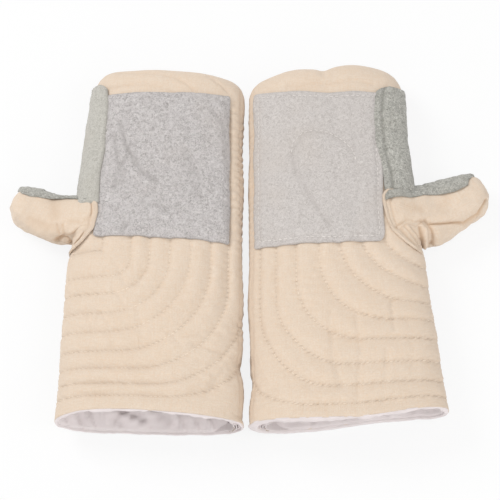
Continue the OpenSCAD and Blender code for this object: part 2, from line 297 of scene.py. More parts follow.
def off_line(u, v, line):
    """Distance from a drawn line, in plan."""
    best = np.full(np.shape(u), 1e9)
    for (u0, v0), (u1, v1) in zip(line, line[1:]):
        du, dv = u1 - u0, v1 - v0
        t = np.clip(((u - u0) * du + (v - v0) * dv) / (du * du + dv * dv), 0, 1)
        best = np.minimum(best, np.hypot(u - u0 - t * du, v - v0 - t * dv))
    return best


def near_line(u, v, line, reach):
    """1 on a drawn line, falling off to either side of it."""
    return ridge(off_line(u, v, line), 0, reach)


print("the left cuff is worn along", len(walk(WORN, 1.0)), "mm")

# %% Draw the creases and raise the cloth
CREASES = {
    "left": [
        ([(5.4, 352), (5.2, 180), (4.6, 0)], 1.0, 1.3), ([(6, 62), (20, 48), (30, 34)], 1.6, 4),
        ([(4, 58), (12, 40)], 1.2, 4), ([(60, 88), (96, 60), (128, 52)], 0.6, 6),
        ([(122, 153), (113, 133)], 0.9, 2.6), ([(123, 126), (113, 111)], 0.9, 2.6),
        ([(135, 102), (121, 85)], 1.0, 2.6), ([(126, 82), (121, 67)], 0.8, 2.4),
        ([(99, 106), (95, 74)], 0.9, 3.0), ([(72, 84), (60, 72)], 0.8, 2.6),
        ([(48, 71), (30, 66), (14, 62)], 1.2, 1.9),
        ([(20, 60), (31, 44)], 0.9, 2.5), ([(146, 100), (142, 84)], 0.7, 2.6),
        ([(24, 30), (60, 22), (110, 26)], 0.6, 5), ([(24, 84), (40, 82), (58, 78)], 0.7, 2.2),
        ([(136, 342), (114, 344), (95, 343), (70, 334)], 1.2, 1.8),
        ([(125, 362), (96, 359), (71, 354), (58, 346), (48, 334)], 1.2, 1.8),
        ([(38, 360), (28, 353), (18, 344)], 1.2, 1.8),
    ],
    "right": [
        ([(5.4, 352), (5.2, 180), (4.6, 0)], 0.8, 1.3), ([(77, 101), (79, 60), (85, 28)], 1.5, 3.2),
        ([(101, 97), (104, 60), (100, 16)], 1.5, 3.2), ([(134, 112), (136, 83)], 1.3, 2.6),
        ([(128, 60), (126, 34)], 1.1, 2.8), ([(124, 28), (122, 10)], 0.7, 2.5),
        ([(150, 90), (152, 40)], 0.6, 4), ([(48, 62), (54, 34)], 0.7, 3),
        ([(3, 62), (10, 44), (22, 30)], 1.3, 5),
        ([(40, 343), (82, 345.5), (106, 345.5), (124, 344)], 1.2, 1.8),
        ([(73, 372), (76, 358)], 1.2, 3.0), ([(18, 352), (40, 356), (60, 354)], 0.4, 4.0),
    ],
}


def patch_cover(h, u, v):
    """1 under the palm patch, 0 outside it."""
    (u0, u1), (v0, v1) = PATCH[h]["u"], PATCH[h]["v"]
    return smooth((u - u0) / 5) * smooth((u1 - u) / 5) * smooth((v - v0 - 2) / 6) * smooth((v1 - 4 - v) / 5)


def relief(h, p, u, v, palm):
    """How far the canvas stands off the plain form, in millimetres, and what its stitches look like there."""
    crown, away, row, along = puff(h, u, v)
    calm = smooth(v / 9) * smooth((LENGTH - v) / 12)
    quilted = calm * (1 - smooth((v - 320) / 12) * palm) * (1 - 0.72 * patch_cover(h, u, v) * palm)
    if h == "left":
        quilted = quilted * (1 - 0.6 * near_line(u, v, WORN, 12) * palm)
    side = 0.25 + 0.75 * smooth((middle(h, v) + half_width(h, v, 0) - u) / 7)
    depth = QUILT_DEEP * side * (1 + 0.35 * waves(p, 48, 14))
    ripple = np.sin(2 * np.pi * along / 9.2 + 2.4 * row + 1.6 * waves(p, 24, 15)) * np.exp(-away / 5.5)
    tuck = ridge(away, 0, 1.7)
    out = quilted * (-depth * (1 - crown) - tuck * side * (0.22 - 0.14 * np.cos(2 * np.pi * along / STITCH)))
    out = out + quilted * ripple * (0.46 + 0.22 * waves(p, 40, 16)) + calm * 0.16 * waves(p, 7.5, 12)
    out = out + 0.8 * waves(p, 62, 13) * smooth(v / 20)
    margin = ridge(u, 9, 7) * smooth((v - 150) / 30) * smooth((345 - v) / 20) * palm
    out = out + 0.6 * margin * np.sin(2 * np.pi * v / 8.3 + 1.5 * waves(p, 40, 17))
    # drawn marks the stitched grooves and the narrow creases, which the canvas finish paints with shade
    drawn = tuck * quilted
    for line, deep, reach in CREASES[h]:
        near = near_line(u, v, line, reach) * palm * calm
        out = out - deep * near
        drawn = np.maximum(drawn, near * min(1, deep) * (reach < 2.5))
    return out, {"groove": drawn, "away": np.where(quilted > 0.5, away, 20), "along": along}


print("rows of quilting:", {h: len(r) for h, r in ROWS.items()})

# %% [markdown]
# ## A slab of cloth
# Every piece of cloth here is made the same way: a flat grid is extruded into a thin closed slab whose
# corners are numbers from 0 to 1, and each vertex then moves to the place that a shape function gives for
# its three numbers. In a tube the slab's two long edges are one, and a closed end is folded flat and
# joined. The grid's own UV map stays on the cloth, so that a weave follows every fold.

# %% Make and place a slab
def new_piece(name, bm):
    """Turns a finished bmesh into an object in the scene."""
    mesh = bpy.data.meshes.new(name)
    bm.to_mesh(mesh)
    bm.free()
    piece = bpy.data.objects.new(name, mesh)
    bpy.context.scene.collection.objects.link(piece)
    return piece


def slab(name, nx, ny, closed_x=False, closed_end=False, hole=None):
    """A closed slab of 1 by 1 by 1, which may be a tube, have a closed end or have a hole in it."""
    bm = bmesh.new()
    bm.loops.layers.uv.new("cloth")
    bmesh.ops.create_grid(bm, x_segments=nx, y_segments=ny, size=0.5,
                          matrix=Matrix.Translation((0.5, 0.5, 0)), calc_uvs=True)
    if hole is not None:
        mids = np.array([f.calc_center_median()[:2] for f in bm.faces])
        inside = hole(mids[:, 0], mids[:, 1])
        bmesh.ops.delete(bm, geom=[f for f, gone in zip(bm.faces[:], inside) if gone], context="FACES")
    up = bmesh.ops.extrude_face_region(bm, geom=bm.faces[:], use_keep_orig=True)
    bmesh.ops.translate(bm, vec=(0, 0, 1), verts=[g for g in up["geom"] if isinstance(g, bmesh.types.BMVert)])

    def on_edge(face, axis, value):
        return all(abs(v.co[axis] - value) < 1e-6 for v in face.verts)

    walls = []
    if closed_x:
        walls += [f for f in bm.faces if on_edge(f, 0, 0) or on_edge(f, 0, 1)]
    if closed_end:
        walls += [f for f in bm.faces if on_edge(f, 1, 1)]
    if walls:
        bmesh.ops.delete(bm, geom=list(set(walls)), context="FACES")
    for v in bm.verts:
        if closed_x and v.co.x > 1 - 1e-6:
            v.co.x = 0
        if closed_end and v.co.y > 1 - 1e-6 and v.co.x > 0.5 + 1e-6:
            v.co.x = 1 - v.co.x
    bmesh.ops.remove_doubles(bm, verts=bm.verts[:], dist=1e-5)
    return new_piece(name, bm)


def place(piece, shape):
    """Moves each vertex to shape(x, y, z), in millimetres, which may also give named values to keep."""
    mesh = piece.data
    co = np.empty(len(mesh.vertices) * 3)
    mesh.vertices.foreach_get("co", co)
    x, y, z = co.reshape(-1, 3).T
    found = shape(x, y, z)
    points, values = found if isinstance(found, tuple) else (found, {})
    for key, value in values.items():
        layer = mesh.attributes.new(key, "FLOAT", "POINT")
        layer.data.foreach_set("value", np.asarray(value, np.float32))
    mesh.vertices.foreach_set("co", (points / 1000).ravel())
    bm = bmesh.new()
    bm.from_mesh(mesh)
    bmesh.ops.recalc_face_normals(bm, faces=bm.faces[:])
    bm.to_mesh(mesh)
    open_edges = sum(1 for e in bm.edges if not e.is_manifold)
    bm.free()
    for poly in mesh.polygons:
        poly.use_smooth = True
    mesh.update()
    print(f"{piece.name}: {len(mesh.polygons)} faces, {open_edges} open edges")
    return piece


# %% [markdown]
# ## The padded wall
# Canvas outside and batting behind it are quilted together, so they are one padded piece for each mitten.
# It covers the cuff and the hand without a break, because the real cloth has none at the wrist. A hole in
# its side leads into the thumb. The inner face is the plain form, 8.7 mm further in, where the lining lies.

# %% Shape the padded walls
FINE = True
AROUND, ALONG = (300, 272) if FINE else (210, 180)
THUMB_FROM = CROTCH - 59.0  # where the opening for the thumb starts


def thumb_hole(h):
    """Tells which places of the wall lie in the opening that leads into the thumb."""
    def inside(x, y):
        v = y * RUN
        mid, half = (THUMB_FROM + CROTCH) / 2, (CROTCH - THUMB_FROM) / 2 - 5
        high = 14.0 * np.sqrt(np.maximum(0, 1 - ((v - mid) / half) ** 2))
        p, _, _ = form(h, v, x)
        return (np.abs(v - mid) < half) & (np.abs(p[:, 2] - seam_height(v)) < high) & (np.abs(x - 0.5) < 0.2)
    return inside


MOUTH_EDGE = {"left": (2.2, 2.2), "right": (8.0, 4.2)}  # how thick its mouth is, at the inner and outer side


def inner_deep(h, run, turn):
    """How deep the wall's inner face lies: the wall is pinched thin at its mouth."""
    share = (1 - np.cos(2 * np.pi * turn)) / 2
    edge = MOUTH_EDGE[h][0] * (1 - share) + MOUTH_EDGE[h][1] * share
    return edge + (WALL - edge) * smooth(run / 24)


def out_of(h, run, turn, deep=0.0):
    """The outward direction of the form."""
    run = np.minimum(run, RUN - 1.2)
    n = normals(lambda a, b: form(h, a, b, deep)[0], run, np.clip(turn, 0.003, 0.997))
    return n * -SIDE[h]


def wall_shape(h):
    def shape(x, y, z):
        run = 1.0 + y * (RUN - 1.0)
        outside = z > 0.5
        outer, u, v = form(h, run, x)
        lift, marks = relief(h, outer, u, v, x <= 0.5)
        tip = smooth((RUN - run) / 6)
        inner, _, _ = form(h, run, x, inner_deep(h, run, x))
        points = np.where(outside[:, None], outer + out_of(h, run, x) * (lift * tip)[:, None], inner)
        points[:, 2] = np.maximum(points[:, 2], 0.05)
        bare = {"groove": 0, "away": 20, "along": 0}
        return points, {key: np.where(outside, value, bare[key]) for key, value in marks.items()}
    return shape


walls = {}
for h in HANDS:
    wall = slab(h + "_quilted_wall", AROUND, ALONG, closed_x=True, closed_end=True, hole=thumb_hole(h))
    walls[h] = place(wall, wall_shape(h))

# %% [markdown]
# ## The thumb
# A thumb is a tapered tube sewn to the hand along a curved seam that lies well inside the palm. It is
# lofted through stations: the seam on the palm and on the back, the opening in the hand's side, then
# rounder and rounder sections out to the blunt tip. A smooth curve through the stations gives the cloth its
# flow.

# %% Measure the thumbs
THUMB = {}
for h in HANDS:
    s = SIDE[h]
    canvas = points_of(h + "_thumb_palm_canvas")
    strip = points_of(h + "_thumb_strip")
    flat = strip[strip[:, 2] < strip[:, 2].min() + 0.3]
    flat = flat[np.argsort(flat[:, 0] * s)]
    run_line = flat[-1, :2] - flat[0, :2]
    angle = math.atan2(run_line[1], run_line[0] * s)
    mid_v = (THUMB_FROM + CROTCH) / 2
    root = np.array([float(INNER + width(h, mid_v)), mid_v])
    plan = np.stack([(canvas[:, 0] - PAIR_LINE) * s, canvas[:, 1] + LENGTH / 2], axis=-1) - root
    e1 = np.array([math.cos(angle), math.sin(angle)])
    e2 = np.array([-math.sin(angle), math.cos(angle)])
    out, over = plan @ e1, plan @ e2
    THUMB[h] = {"root": root, "e1": e1, "e2": e2}
    print(h, "thumb angle", round(math.degrees(angle), 1), "length", round(out.max(), 1),
          "half width", round(over[out > 20].max(), 1))

# %% Loft the thumbs
SEAM_LINE = {  # how far inside the hand's edge the seam runs, and its distance from the mouth
    "left": [(0, 225), (9, 224), (16, 220), (20, 214), (21.5, 206), (20.5, 190), (12, 178), (1, 169)],
    "right": [(0, 231), (16, 230), (27, 228), (31, 223), (32, 215), (31.5, 206), (31, 198), (28, 187),
              (17, 176), (4, 167)],
}
LIP = {  # the lip beside the welt: shares of the way out at its crest and its groove, and the groove's depth
    "left": (0.016, 0.040, 1.3),
    "right": (0.014, 0.034, 0.6),
}
UPPER = {  # distances out from the hand, and how far the upper edge lies from the thumb's middle line there
    "left": ([12, 22, 28, 39, 47, 59, 65], [27, 24, 22.8, 23.7, 24.1, 22.3, 21.6]),
    "right": ([14, 29, 44, 72], [36.6, 33.3, 30.3, 24.3]),
}
LOWER = {  # the same for the lower edge
    "left": ([2, 11, 26, 37, 52], [20.0, 21.1, 20.1, 19.4, 14.6]),
    "right": ([6, 26, 50, 62], [25.6, 23.0, 17.8, 15.1]),
}
REACH = {"left": 67.5, "right": 78.0}  # how far out the tip is
THUMB_UP = {"left": 28.5, "right": 39.0}  # how far the thumb's upper side reaches from its middle at the hand
THUMB_DOWN = {"left": 20.0, "right": 22.5}  # and its lower side
THUMB_SEAM_Z = 17.6  # how high the thumb's middle lies
OPEN_HIGH = 17.5  # half the thumb's thickness
OPENING_IN = 2.0  # how far the opening lies inside the hand's edge
TIP_R = 15.0


def thumb_station(h, k, turn):
    """Section k of the thumb: 0 is the seam on the hand, 1 between, 2 the opening, then out to the tip."""
    t = THUMB[h]
    s = SIDE[h]
    across = np.cos(2 * np.pi * turn)
    palm = turn <= 0.5
    fold = np.where(palm, turn, 1 - turn)
    if k == 0:
        line = np.array(SEAM_LINE[h], float)
        steps = np.r_[0, np.cumsum(np.hypot(*np.diff(line, axis=0).T))]
        along = (1 - np.cos(2 * np.pi * fold)) / 2 * steps[-1]
        inset = np.interp(along, steps, line[:, 0]) * np.where(palm, 1, 0.8)
        v = np.interp(along, steps, line[:, 1])
        edge = INNER + width(h, v)
        turns = turn_of(h, v, edge - inset)
        turns = np.where(palm, turns, 1 - turns)
        p, _, _ = form(h, v, turns, -0.9)
        p[:, 0] += s * np.maximum(0, -inset)
        return p
    if k == 2:
        half = np.where(across > 0, THUMB_UP[h], THUMB_DOWN[h])
        v = (THUMB_FROM + CROTCH) / 2 + across * half
        u = INNER + width(h, v) - OPENING_IN
        high = (OPEN_HIGH + 1.2) * np.sqrt(np.maximum(0, 1 - across ** 2))
        seam = seam_height(v)
        z = np.where(palm, seam + high, np.maximum(0.4, seam - high * 1.05))
        return np.stack([PAIR_LINE + s * u, v - LENGTH / 2, z], axis=-1)
    if k == 1:
        a, b = thumb_station(h, 0, turn), thumb_station(h, 2, turn)
        p = (a + b) / 2
        p[:, 2] += np.where(palm, 1.6, -0.8) * np.sin(2 * np.pi * fold) ** 2
        p[:, 2] = np.maximum(p[:, 2], 0.3)
        return p
    long = REACH[h]
    straight = [9, 18, 30, long - 24, long - TIP_R]
    if k < 3 + len(straight):
        out, phi = straight[k - 3], 0.0
    else:
        phi = math.radians((28, 52, 74, 90)[k - 3 - len(straight)])
        out = long - TIP_R + TIP_R * math.sin(phi)
    blend = min(1.0, out / 18)
    upper = np.interp(out, *UPPER[h]) * (1 - 0.4 * (1 - math.cos(phi)))
    lower = np.interp(out, *LOWER[h]) * max(0.02, math.cos(phi)) ** 2.0
    centre = t["root"] + out * t["e1"]
    top, bottom = centre + upper * t["e2"], centre - lower * t["e2"]
    if out < 30:
        near = np.array([INNER + width(h, t["root"][1]) - OPENING_IN, t["root"][1] + THUMB_UP[h]])
        later = t["root"] + 30 * t["e1"] + np.interp(30, *UPPER[h]) * t["e2"]
        top = near + (later - near) * (out + 2) / 32
    above, below = np.maximum(across, 0)[:, None], np.maximum(-across, 0)[:, None]
    plan = centre + above * (top - centre) + below * (bottom - centre)
    lens = np.sqrt(np.maximum(0, 1 - across ** 2))
    boxy = np.maximum(0, 1 - np.abs(across) ** 2.5) ** 0.4
    lift = OPEN_HIGH * (lens * (1 - blend) + boxy * blend) * math.cos(phi)
    seam = THUMB_SEAM_Z * blend + 22.3 * (1 - blend)
    z = np.where(palm, seam + lift, np.maximum(0.3, seam - lift))
    return np.stack([PAIR_LINE + s * plan[:, 0], plan[:, 1] - LENGTH / 2, z], axis=-1)


STATION_AT = np.array([0, 0.09, 0.18, 0.26, 0.36, 0.50, 0.66, 0.78, 0.85, 0.91, 0.96, 1.0])
STATIONS = len(STATION_AT)


def thumb_form(h, s_along, turn):
    """Smooth curve through the stations, for arrays of places along and round the thumb."""
    i = np.clip(np.searchsorted(STATION_AT, s_along, side="right") - 1, 0, STATIONS - 2)
    at = np.stack([thumb_station(h, k, turn) for k in range(STATIONS)])
    cols = np.arange(len(turn))
    p1, p2 = at[i, cols], at[i + 1, cols]
    p0, p3 = at[np.maximum(i - 1, 0), cols], at[np.minimum(i + 2, STATIONS - 1), cols]
    x0, x1 = STATION_AT[np.maximum(i - 1, 0)], STATION_AT[i]
    x2, x3 = STATION_AT[i + 1], STATION_AT[np.minimum(i + 2, STATIONS - 1)]
    gap = (x2 - x1)[:, None]
    m1 = (p2 - p0) / np.maximum(1e-9, (x2 - x0))[:, None] * gap
    m2 = (p3 - p1) / np.maximum(1e-9, (x3 - x1))[:, None] * gap
    q = ((s_along - x1) / (x2 - x1))[:, None]
    return ((2 * q ** 3 - 3 * q ** 2 + 1) * p1 + (q ** 3 - 2 * q ** 2 + q) * m1
            + (-2 * q ** 3 + 3 * q ** 2) * p2 + (q ** 3 - q ** 2) * m2)


# %% [markdown]
# The spare cloth of the thumb falls into folds at its root. As on the hand, each is a drawn line with a
# depth and a half width, and between the folds the cloth bulges in puffs. The lip along the welt stands up
# beside a groove.

# %% Fold the thumbs
THUMB_FOLDS = {
    "left": [
        ([(151, 190), (157, 190.5), (162, 188), (167, 185), (173.5, 186.5), (187, 184)], 4.2, 1.5),
        ([(180, 197), (178, 189)], 1.2, 1.4), ([(174, 196), (173, 189)], 1.1, 1.3),
        ([(167, 186), (168.5, 176)], 2.6, 1.5), ([(150, 199), (158, 197), (168, 199)], 0.7, 2.5),
        ([(176, 194), (190, 196), (206, 204)], 0.7, 4.0), ([(184, 222), (182, 206)], 0.6, 5.0),
    ],
    "right": [
        ([(141, 189), (152, 196), (160, 195), (165, 198)], 2.4, 1.9),
        ([(169, 199), (175, 191), (176, 178)], 6.0, 1.9), ([(164, 192), (166, 180)], 2.2, 1.8),
        ([(174, 197), (182, 198), (195, 200), (208, 202), (221, 212), (231, 226)], 2.3, 1.1),
        ([(149, 191), (157, 182), (163, 175)], 1.0, 1.3), ([(155, 191), (161, 184), (166, 178)], 1.0, 1.3),
        ([(144, 190), (152, 180), (159, 173)], 0.9, 1.4), ([(152, 214), (166, 212)], 0.7, 4.0),
        ([(186, 216), (192, 224)], 0.5, 5.0),
    ],
}
THUMB_PUFFS = {
    "left": [([(172, 194), (184, 192)], 1.2, 3.5), ([(156, 184), (162, 179)], 1.0, 3.0)],
    "right": [([(150, 203), (166, 204), (186, 205), (208, 209), (222, 219)], 1.1, 4.5),
              ([(170, 191), (169, 180)], 3.4, 2.4), ([(182, 190), (200, 194)], 0.8, 4.0),
              ([(154, 188), (160, 184)], 1.2, 3.5)],
}
SHADED_FOLD = [(172, 180), (184, 180)]  # the layer under the left thumb's main crease is in its shade


def thumb_shape(h):
    def shape(x, y, z):
        outside = z > 0.5
        y = y * (0.55 + 0.45 * y)
        base = thumb_form(h, y, x)
        n = normals(lambda a, b: thumb_form(h, np.clip(a, 0, 1), b), np.clip(y, 0.01, 0.97),
                    np.clip(x, 0.004, 0.996), 0.004, 0.003) * -SIDE[h]
        u, v = (base[:, 0] - PAIR_LINE) * SIDE[h], base[:, 1] + LENGTH / 2
        palm = x <= 0.5
        lift = 0.7 * waves(base, 26, 21) + 0.35 * waves(base, 9, 22)
        # crease marks the folds and the lip's groove, which the thumb's canvas paints darker as painted shade
        crease = np.zeros(len(x))
        for line, depth, reach in THUMB_FOLDS[h]:
            near = near_line(u, v, line, reach) * palm
            lift = lift - depth * near
            crease = np.maximum(crease, near * min(1, depth / 2))
        if h == "left":
            crease = np.maximum(crease, 0.5 * near_line(u, v, SHADED_FOLD, 4) * palm)
        for line, high, reach in THUMB_PUFFS[h]:
            lift = lift + high * near_line(u, v, line, reach) * palm
        lift = lift * smooth(y / 0.06) * smooth((1 - y) / 0.06)
        crest, groove, deep = LIP[h]
        lift = lift + 0.9 * ridge(y, crest, 0.018) - deep * ridge(y, groove, 0.008) * palm
        crease = np.maximum(crease, 0.7 * deep * ridge(y, groove, 0.007) * palm)
        thick = 1.0 + 6.6 * smooth((y - 0.12) / 0.25) * (1 - 0.35 * smooth((y - 0.8) / 0.2))
        outer = base + n * lift[:, None]
        inner = base - n * thick[:, None] * smooth((1 - y) / 0.05 + 0.12)[:, None]
        points = np.where(outside[:, None], outer, inner)
        points[:, 2] = np.maximum(points[:, 2], np.where(outside, 0.05, 0.6))
        return points, {"groove": np.where(outside, crease, 0)}
    return shape


thumbs = {}
for h in HANDS:
    around, out = (180, 130) if FINE else (110, 80)
    thumb = slab(h + "_padded_thumb", around, out, closed_x=True, closed_end=True)
    thumbs[h] = place(thumb, thumb_shape(h))

# %% [markdown]
# The seam where the thumb joins the palm is bulky, because it gathers four layers. It shows as a narrow
# welt, made here as a tube of cloth that follows the seam and flattens out at both ends.

# %% Raise the welt along each thumb seam
def seam_plan(h):
    line = np.array(SEAM_LINE[h], float)[1:]
    v = line[:, 1]
    return walk(np.stack([INNER + width(h, v) - line[:, 0], v], axis=-1), 1.0)


def along_rows(at, rows):
    """The points at places along a list of points."""
    return np.stack([np.interp(at, np.arange(len(rows)), rows[:, i]) for i in range(3)], axis=-1)


def welt_shape(h):
    plan = seam_plan(h)
    turns = turn_of(h, plan[:, 1], plan[:, 0])
    spine, _, _ = form(h, plan[:, 1], turns)
    out = out_of(h, plan[:, 1], turns)
    flow = np.gradient(spine, axis=0)
    flow /= np.linalg.norm(flow, axis=1, keepdims=True)
    side = np.cross(flow, out)

    def shape(x, y, z):
        at = y * (len(spine) - 1)
        ends = smooth(y / 0.1) * smooth((1 - y) / 0.1)
        radius = (0.5 + 1.25 * ends) * (0.35 + 0.65 * z) + 0.12 * np.sin(at * 2 * np.pi / STITCH)
        a = 2 * np.pi * x
        lift = 1.5 + radius * np.sin(a) * 0.8
        middle_line, up = along_rows(at, spine), along_rows(at, out)
        return middle_line + up * lift[:, None] + along_rows(at, side) * (radius * np.cos(a))[:, None]
    return shape


welts = {}
for h in HANDS:
    welts[h] = place(slab(h + "_thumb_welt", 14, 90, closed_x=True), welt_shape(h))

# %% [markdown]
# ## Lining and rim
# Inside is a thin cotton lining, looser than the wall, so it wrinkles. It is turned out over the end of the
# wall as a soft rolled rim, which is what shows at the mouth.

# %% Shape the linings
LINING_T = 0.8
LINING_FOLDS = {  # a drawn line, how high the fold stands, and its half width
    "left": [([(172, 12), (166, 3)], 2.4, 1.5), ([(160, 15), (153, 3)], 2.8, 1.6),
             ([(147, 17), (141, 4)], 2.8, 1.6), ([(146, 24), (128, 18), (110, 13), (90, 6)], 3.6, 1.7),
             ([(118, 26), (96, 20), (80, 16)], 2.4, 2.2), ([(122, 9), (114, 3)], 1.8, 1.4),
             ([(64, 15), (57, 3)], 2.4, 1.7), ([(50, 13), (44, 3)], 2.0, 1.6),
             ([(38, 16), (30, 3)], 2.6, 1.8), ([(84, 12), (70, 8)], 1.6, 1.6)],
    "right": [([(34, 12), (46, 18), (62, 20)], 2.6, 1.8), ([(62, 3), (68, 14)], 1.8, 1.6),
              ([(90, 4), (98, 18)], 2.0, 1.8), ([(112, 3), (118, 14)], 1.8, 1.6),
              ([(132, 5), (140, 16)], 2.2, 1.7), ([(154, 4), (160, 14)], 1.8, 1.6)],
}
HEAVE = {"left": 3.0, "right": 6.0}  # how far the lower lining lifts off the wall inside the mouth


def lining_shape(h):
    def shape(x, y, z):
        run = 1.5 + y * (END - 8.0)
        deep = inner_deep(h, run, x) + 0.3
        p, u, v = form(h, run, x, deep)
        stretch = p * np.array([1.0, 0.35, 1.0])
        loose = 1.3 * (waves(stretch, 17, 31) - 1) + 0.6 * (waves(p, 8, 32) - 1)
        fold, low = np.zeros(len(x)), (x > 0.5) * np.sin(np.pi * np.clip(2 * x - 1, 0, 1)) ** 0.6
        shade = np.zeros(len(x))
        for line, high, reach in LINING_FOLDS[h]:
            fold = np.maximum(fold, 1.25 * high * near_line(u, v, line, reach))
            beside = near_line(u + 1.3 * reach, v + 0.8 * reach, line, 1.1)
            shade = np.maximum(shade, beside * (x > 0.5))
        heave = HEAVE[h] * smooth(run / 26) * (1 + 0.4 * waves(p, 50, 33))
        drape = np.minimum(loose, -0.1) * smooth(run / 14) - low * (fold * smooth(run / 4) + heave)
        # painted shade deep inside the right mouth, just under its upper rim
        if h == "right":
            shade = np.maximum(shade * 0.6, 0.9 * smooth((run - 6) / 7) * (x > 0.5))
        inwards = drape - LINING_T * (1 - z)
        return p + out_of(h, run, x, WALL) * inwards[:, None], {"groove": shade}
    return shape


linings = {}
for h in HANDS:
    around, long_way = (200, 110) if FINE else (120, 60)
    lining = slab(h + "_inner_lining", around, long_way, closed_x=True)
    linings[h] = place(lining, lining_shape(h))


# %% Roll the rims
def rolled(h, run, turn, deep, core_deep, uneven=0.0):
    """Points on cloth rolled over the mouth's edge, and their directions away from the middle of the roll."""
    p, _, _ = form(h, np.maximum(run, 0), turn, deep)
    p[:, 1] += np.minimum(run, 0) + uneven * waves(p, 12, 44)
    core, _, _ = form(h, np.full(len(turn), 4.0), turn, core_deep)
    away = p - core
    return p, away / np.maximum(1e-6, np.linalg.norm(away, axis=1, keepdims=True))


def rim_shape(h):
    def shape(x, y, z):
        a = y * np.pi
        edge = inner_deep(h, np.zeros(len(x)), x)
        deep = edge / 2 + 0.5 - (edge / 2 + 0.1) * np.cos(a)
        loose = np.where(x < 0.5, 1.0, 0.3)
        wobble = (0.7 * np.sin(x * 41 + 1) + 0.5 * np.sin(x * 97)) * loose
        run = 1.9 - (2.2 + wobble) * np.sin(a) ** 0.8 + 6 * smooth((y - 0.7) / 0.3)
        p, away = rolled(h, run, x, deep, edge / 2)
        crumple = (0.4 * waves(p, 6, 41) + 0.5 * waves(p, 14, 42)) * loose
        p = p + away * (crumple + LINING_T * (z - 0.5))[:, None]
        p[:, 2] = np.maximum(p[:, 2], 0.05)
        return p
    return shape


rims = {}
for h in HANDS:
    rim = slab(h + "_rolled_rim", 300 if FINE else 180, 16, closed_x=True)
    rims[h] = place(rim, rim_shape(h))

# %% [markdown]
# At the inner end of each mouth the lining's seam is folded over on itself, and it shows as a few curved
# layers with loose thread. Three partial rims, each nested in the last, give that.

# %% Fold the seam ends
LEAVES = [(1, 0.26), (2, 0.21), (3, 0.16)]  # how many layers in, and how far round the mouth it reaches


def leaf_shape(h, layer, reach):
    def shape(x, y, z):
        turn = (reach * (x - 0.56)) % 1.0
        ends = np.sqrt(np.sin(np.pi * np.clip(x, 0.001, 0.999)))
        a = y * np.pi
        in_rim = inner_deep(h, np.zeros(len(x)), turn) + 0.8
        deep = in_rim + 2.3 * (layer - 0.7) * ends + 0.9 * (1 - np.cos(a)) * ends
        run = 3.2 - (2.0 + 0.7 * layer) * np.sin(a) * ends + 5 * smooth((y - 0.6) / 0.4)
        p, away = rolled(h, run, turn, deep, deep, uneven=0.5)
        return p + away * (0.5 * waves(p, 9, 45) + 0.7 * z)[:, None]
    return shape


seam_leaves = {h: [place(slab(f"{h}_seam_fold_{leaf[0]}", 90, 12), leaf_shape(h, *leaf)) for leaf in LEAVES]
               for h in HANDS}


# %% [markdown]
# ## Suede on the palm
# The patch is a nearly square piece of split suede, laid on the quilted palm and sewn round its edge. It
# hides most of the quilting, and only a soft print of it comes through. It was cut and sewn by hand, so its
# corners are a little out of square. Its folds are drawn lines, as the creases are.

# %% Shape the palm patches
PATCH_WIDE, PATCH_LONG = (round(PATCH["left"][way][1] - PATCH["left"][way][0], 1) for way in ("u", "v"))
OUT_OF_SQUARE = {  # at the lower inner, lower outer, upper inner and upper outer corners
    "left": [(0.5, -2.0), (4.5, 5.5), (1.5, 6.0), (0.0, 2.5)],
    "right": [(0.0, -5.5), (-2.0, -2.0), (0.0, 11.0), (-1.5, 3.5)],
}
BOW = {"left": 1.6, "right": 4.0}  # how far the top edge is cut straight across the crown
BORDER_IN = 5.0  # how far in from the edge it is sewn
CORNER_CUT = {"left": 1.5, "right": 9.0}  # how round the lower outer corner is cut
ROUGH = {"left": 0.42, "right": 0.14}  # how high the nap's clumps stand
SEWN_DOWN = {"left": 0.18, "right": 0.6}  # how deep the line of stitches pulls the patch down
PATCH_FOLDS = {
    "left": [([(122, 300), (116, 276), (100, 246), (86, 236)], 2.2, 2.6),
             ([(128, 290), (124, 262), (116, 238)], 1.0, 3), ([(114, 264), (122, 250), (126, 230)], 1.3, 2.6),
             ([(36, 318), (24, 302), (21, 285), (21, 266)], 1.0, 2.2),
             ([(20, 332), (19, 250), (18, 176)], 0.8, 1.3), ([(60, 268), (46, 240), (46, 222)], 0.6, 5),
             ([(112, 190), (118, 184)], 1.4, 2.5), ([(64, 206), (92, 210)], 0.6, 5)],
    "right": [([(44, 266), (48, 244), (58, 224), (70, 202), (78, 190)], 1.0, 2.6),
              ([(44, 266), (54, 285), (66, 289), (79, 287), (92, 280), (103, 268)], 0.8, 2.2),
              ([(103, 268), (107, 246)], 0.4, 5)],
}


def from_edge(x, y, wide, long):
    """How far in from its nearest edge a point of a cut piece lies."""
    return np.minimum(np.minimum(x, 1 - x) * wide, np.minimum(y, 1 - y) * long)


def patch_plan(h, x, y):
    """Plan position on the patch for shares across and along it."""
    u0, u1 = PATCH[h]["u"]
    v0, v1 = PATCH[h]["v"]
    du = dv = 0
    for (cu, cv), wx, wy in zip(OUT_OF_SQUARE[h], (1 - x, x, 1 - x, x), (1 - y, 1 - y, y, y)):
        du, dv = du + cu * wx * wy, dv + cv * wx * wy
    r = np.where((x > 0.5) & (y < 0.5), CORNER_CUT[h], 1.5)
    u, v = u0 + (u1 - u0) * x + du, v0 + (v1 - v0) * y + dv
    mid_u = (u0 + u1) / 2
    end = np.minimum(y, 1 - y) * (v1 - v0)
    pull = r - np.sqrt(np.maximum(0, r * r - np.clip(r - end, 0, r) ** 2))
    reach = (np.abs(x - 0.5) * 2) ** 5
    u = u - np.sign(u - mid_u) * pull * reach
    bow = BOW[h] * 4 * x * (1 - x) * y ** 2
    return u + 0.5 * np.sin(v / 9) * reach, v - bow + 0.4 * np.sin(u / 8 + 1)


def nap(p, size, seed):
    """The clumps of a suede's nap, between about -1 and 1."""
    return 1 - 2 * np.abs(waves(p, size, seed)) ** 0.7 + 0.5 * waves(p, size * 0.8, seed + 1)


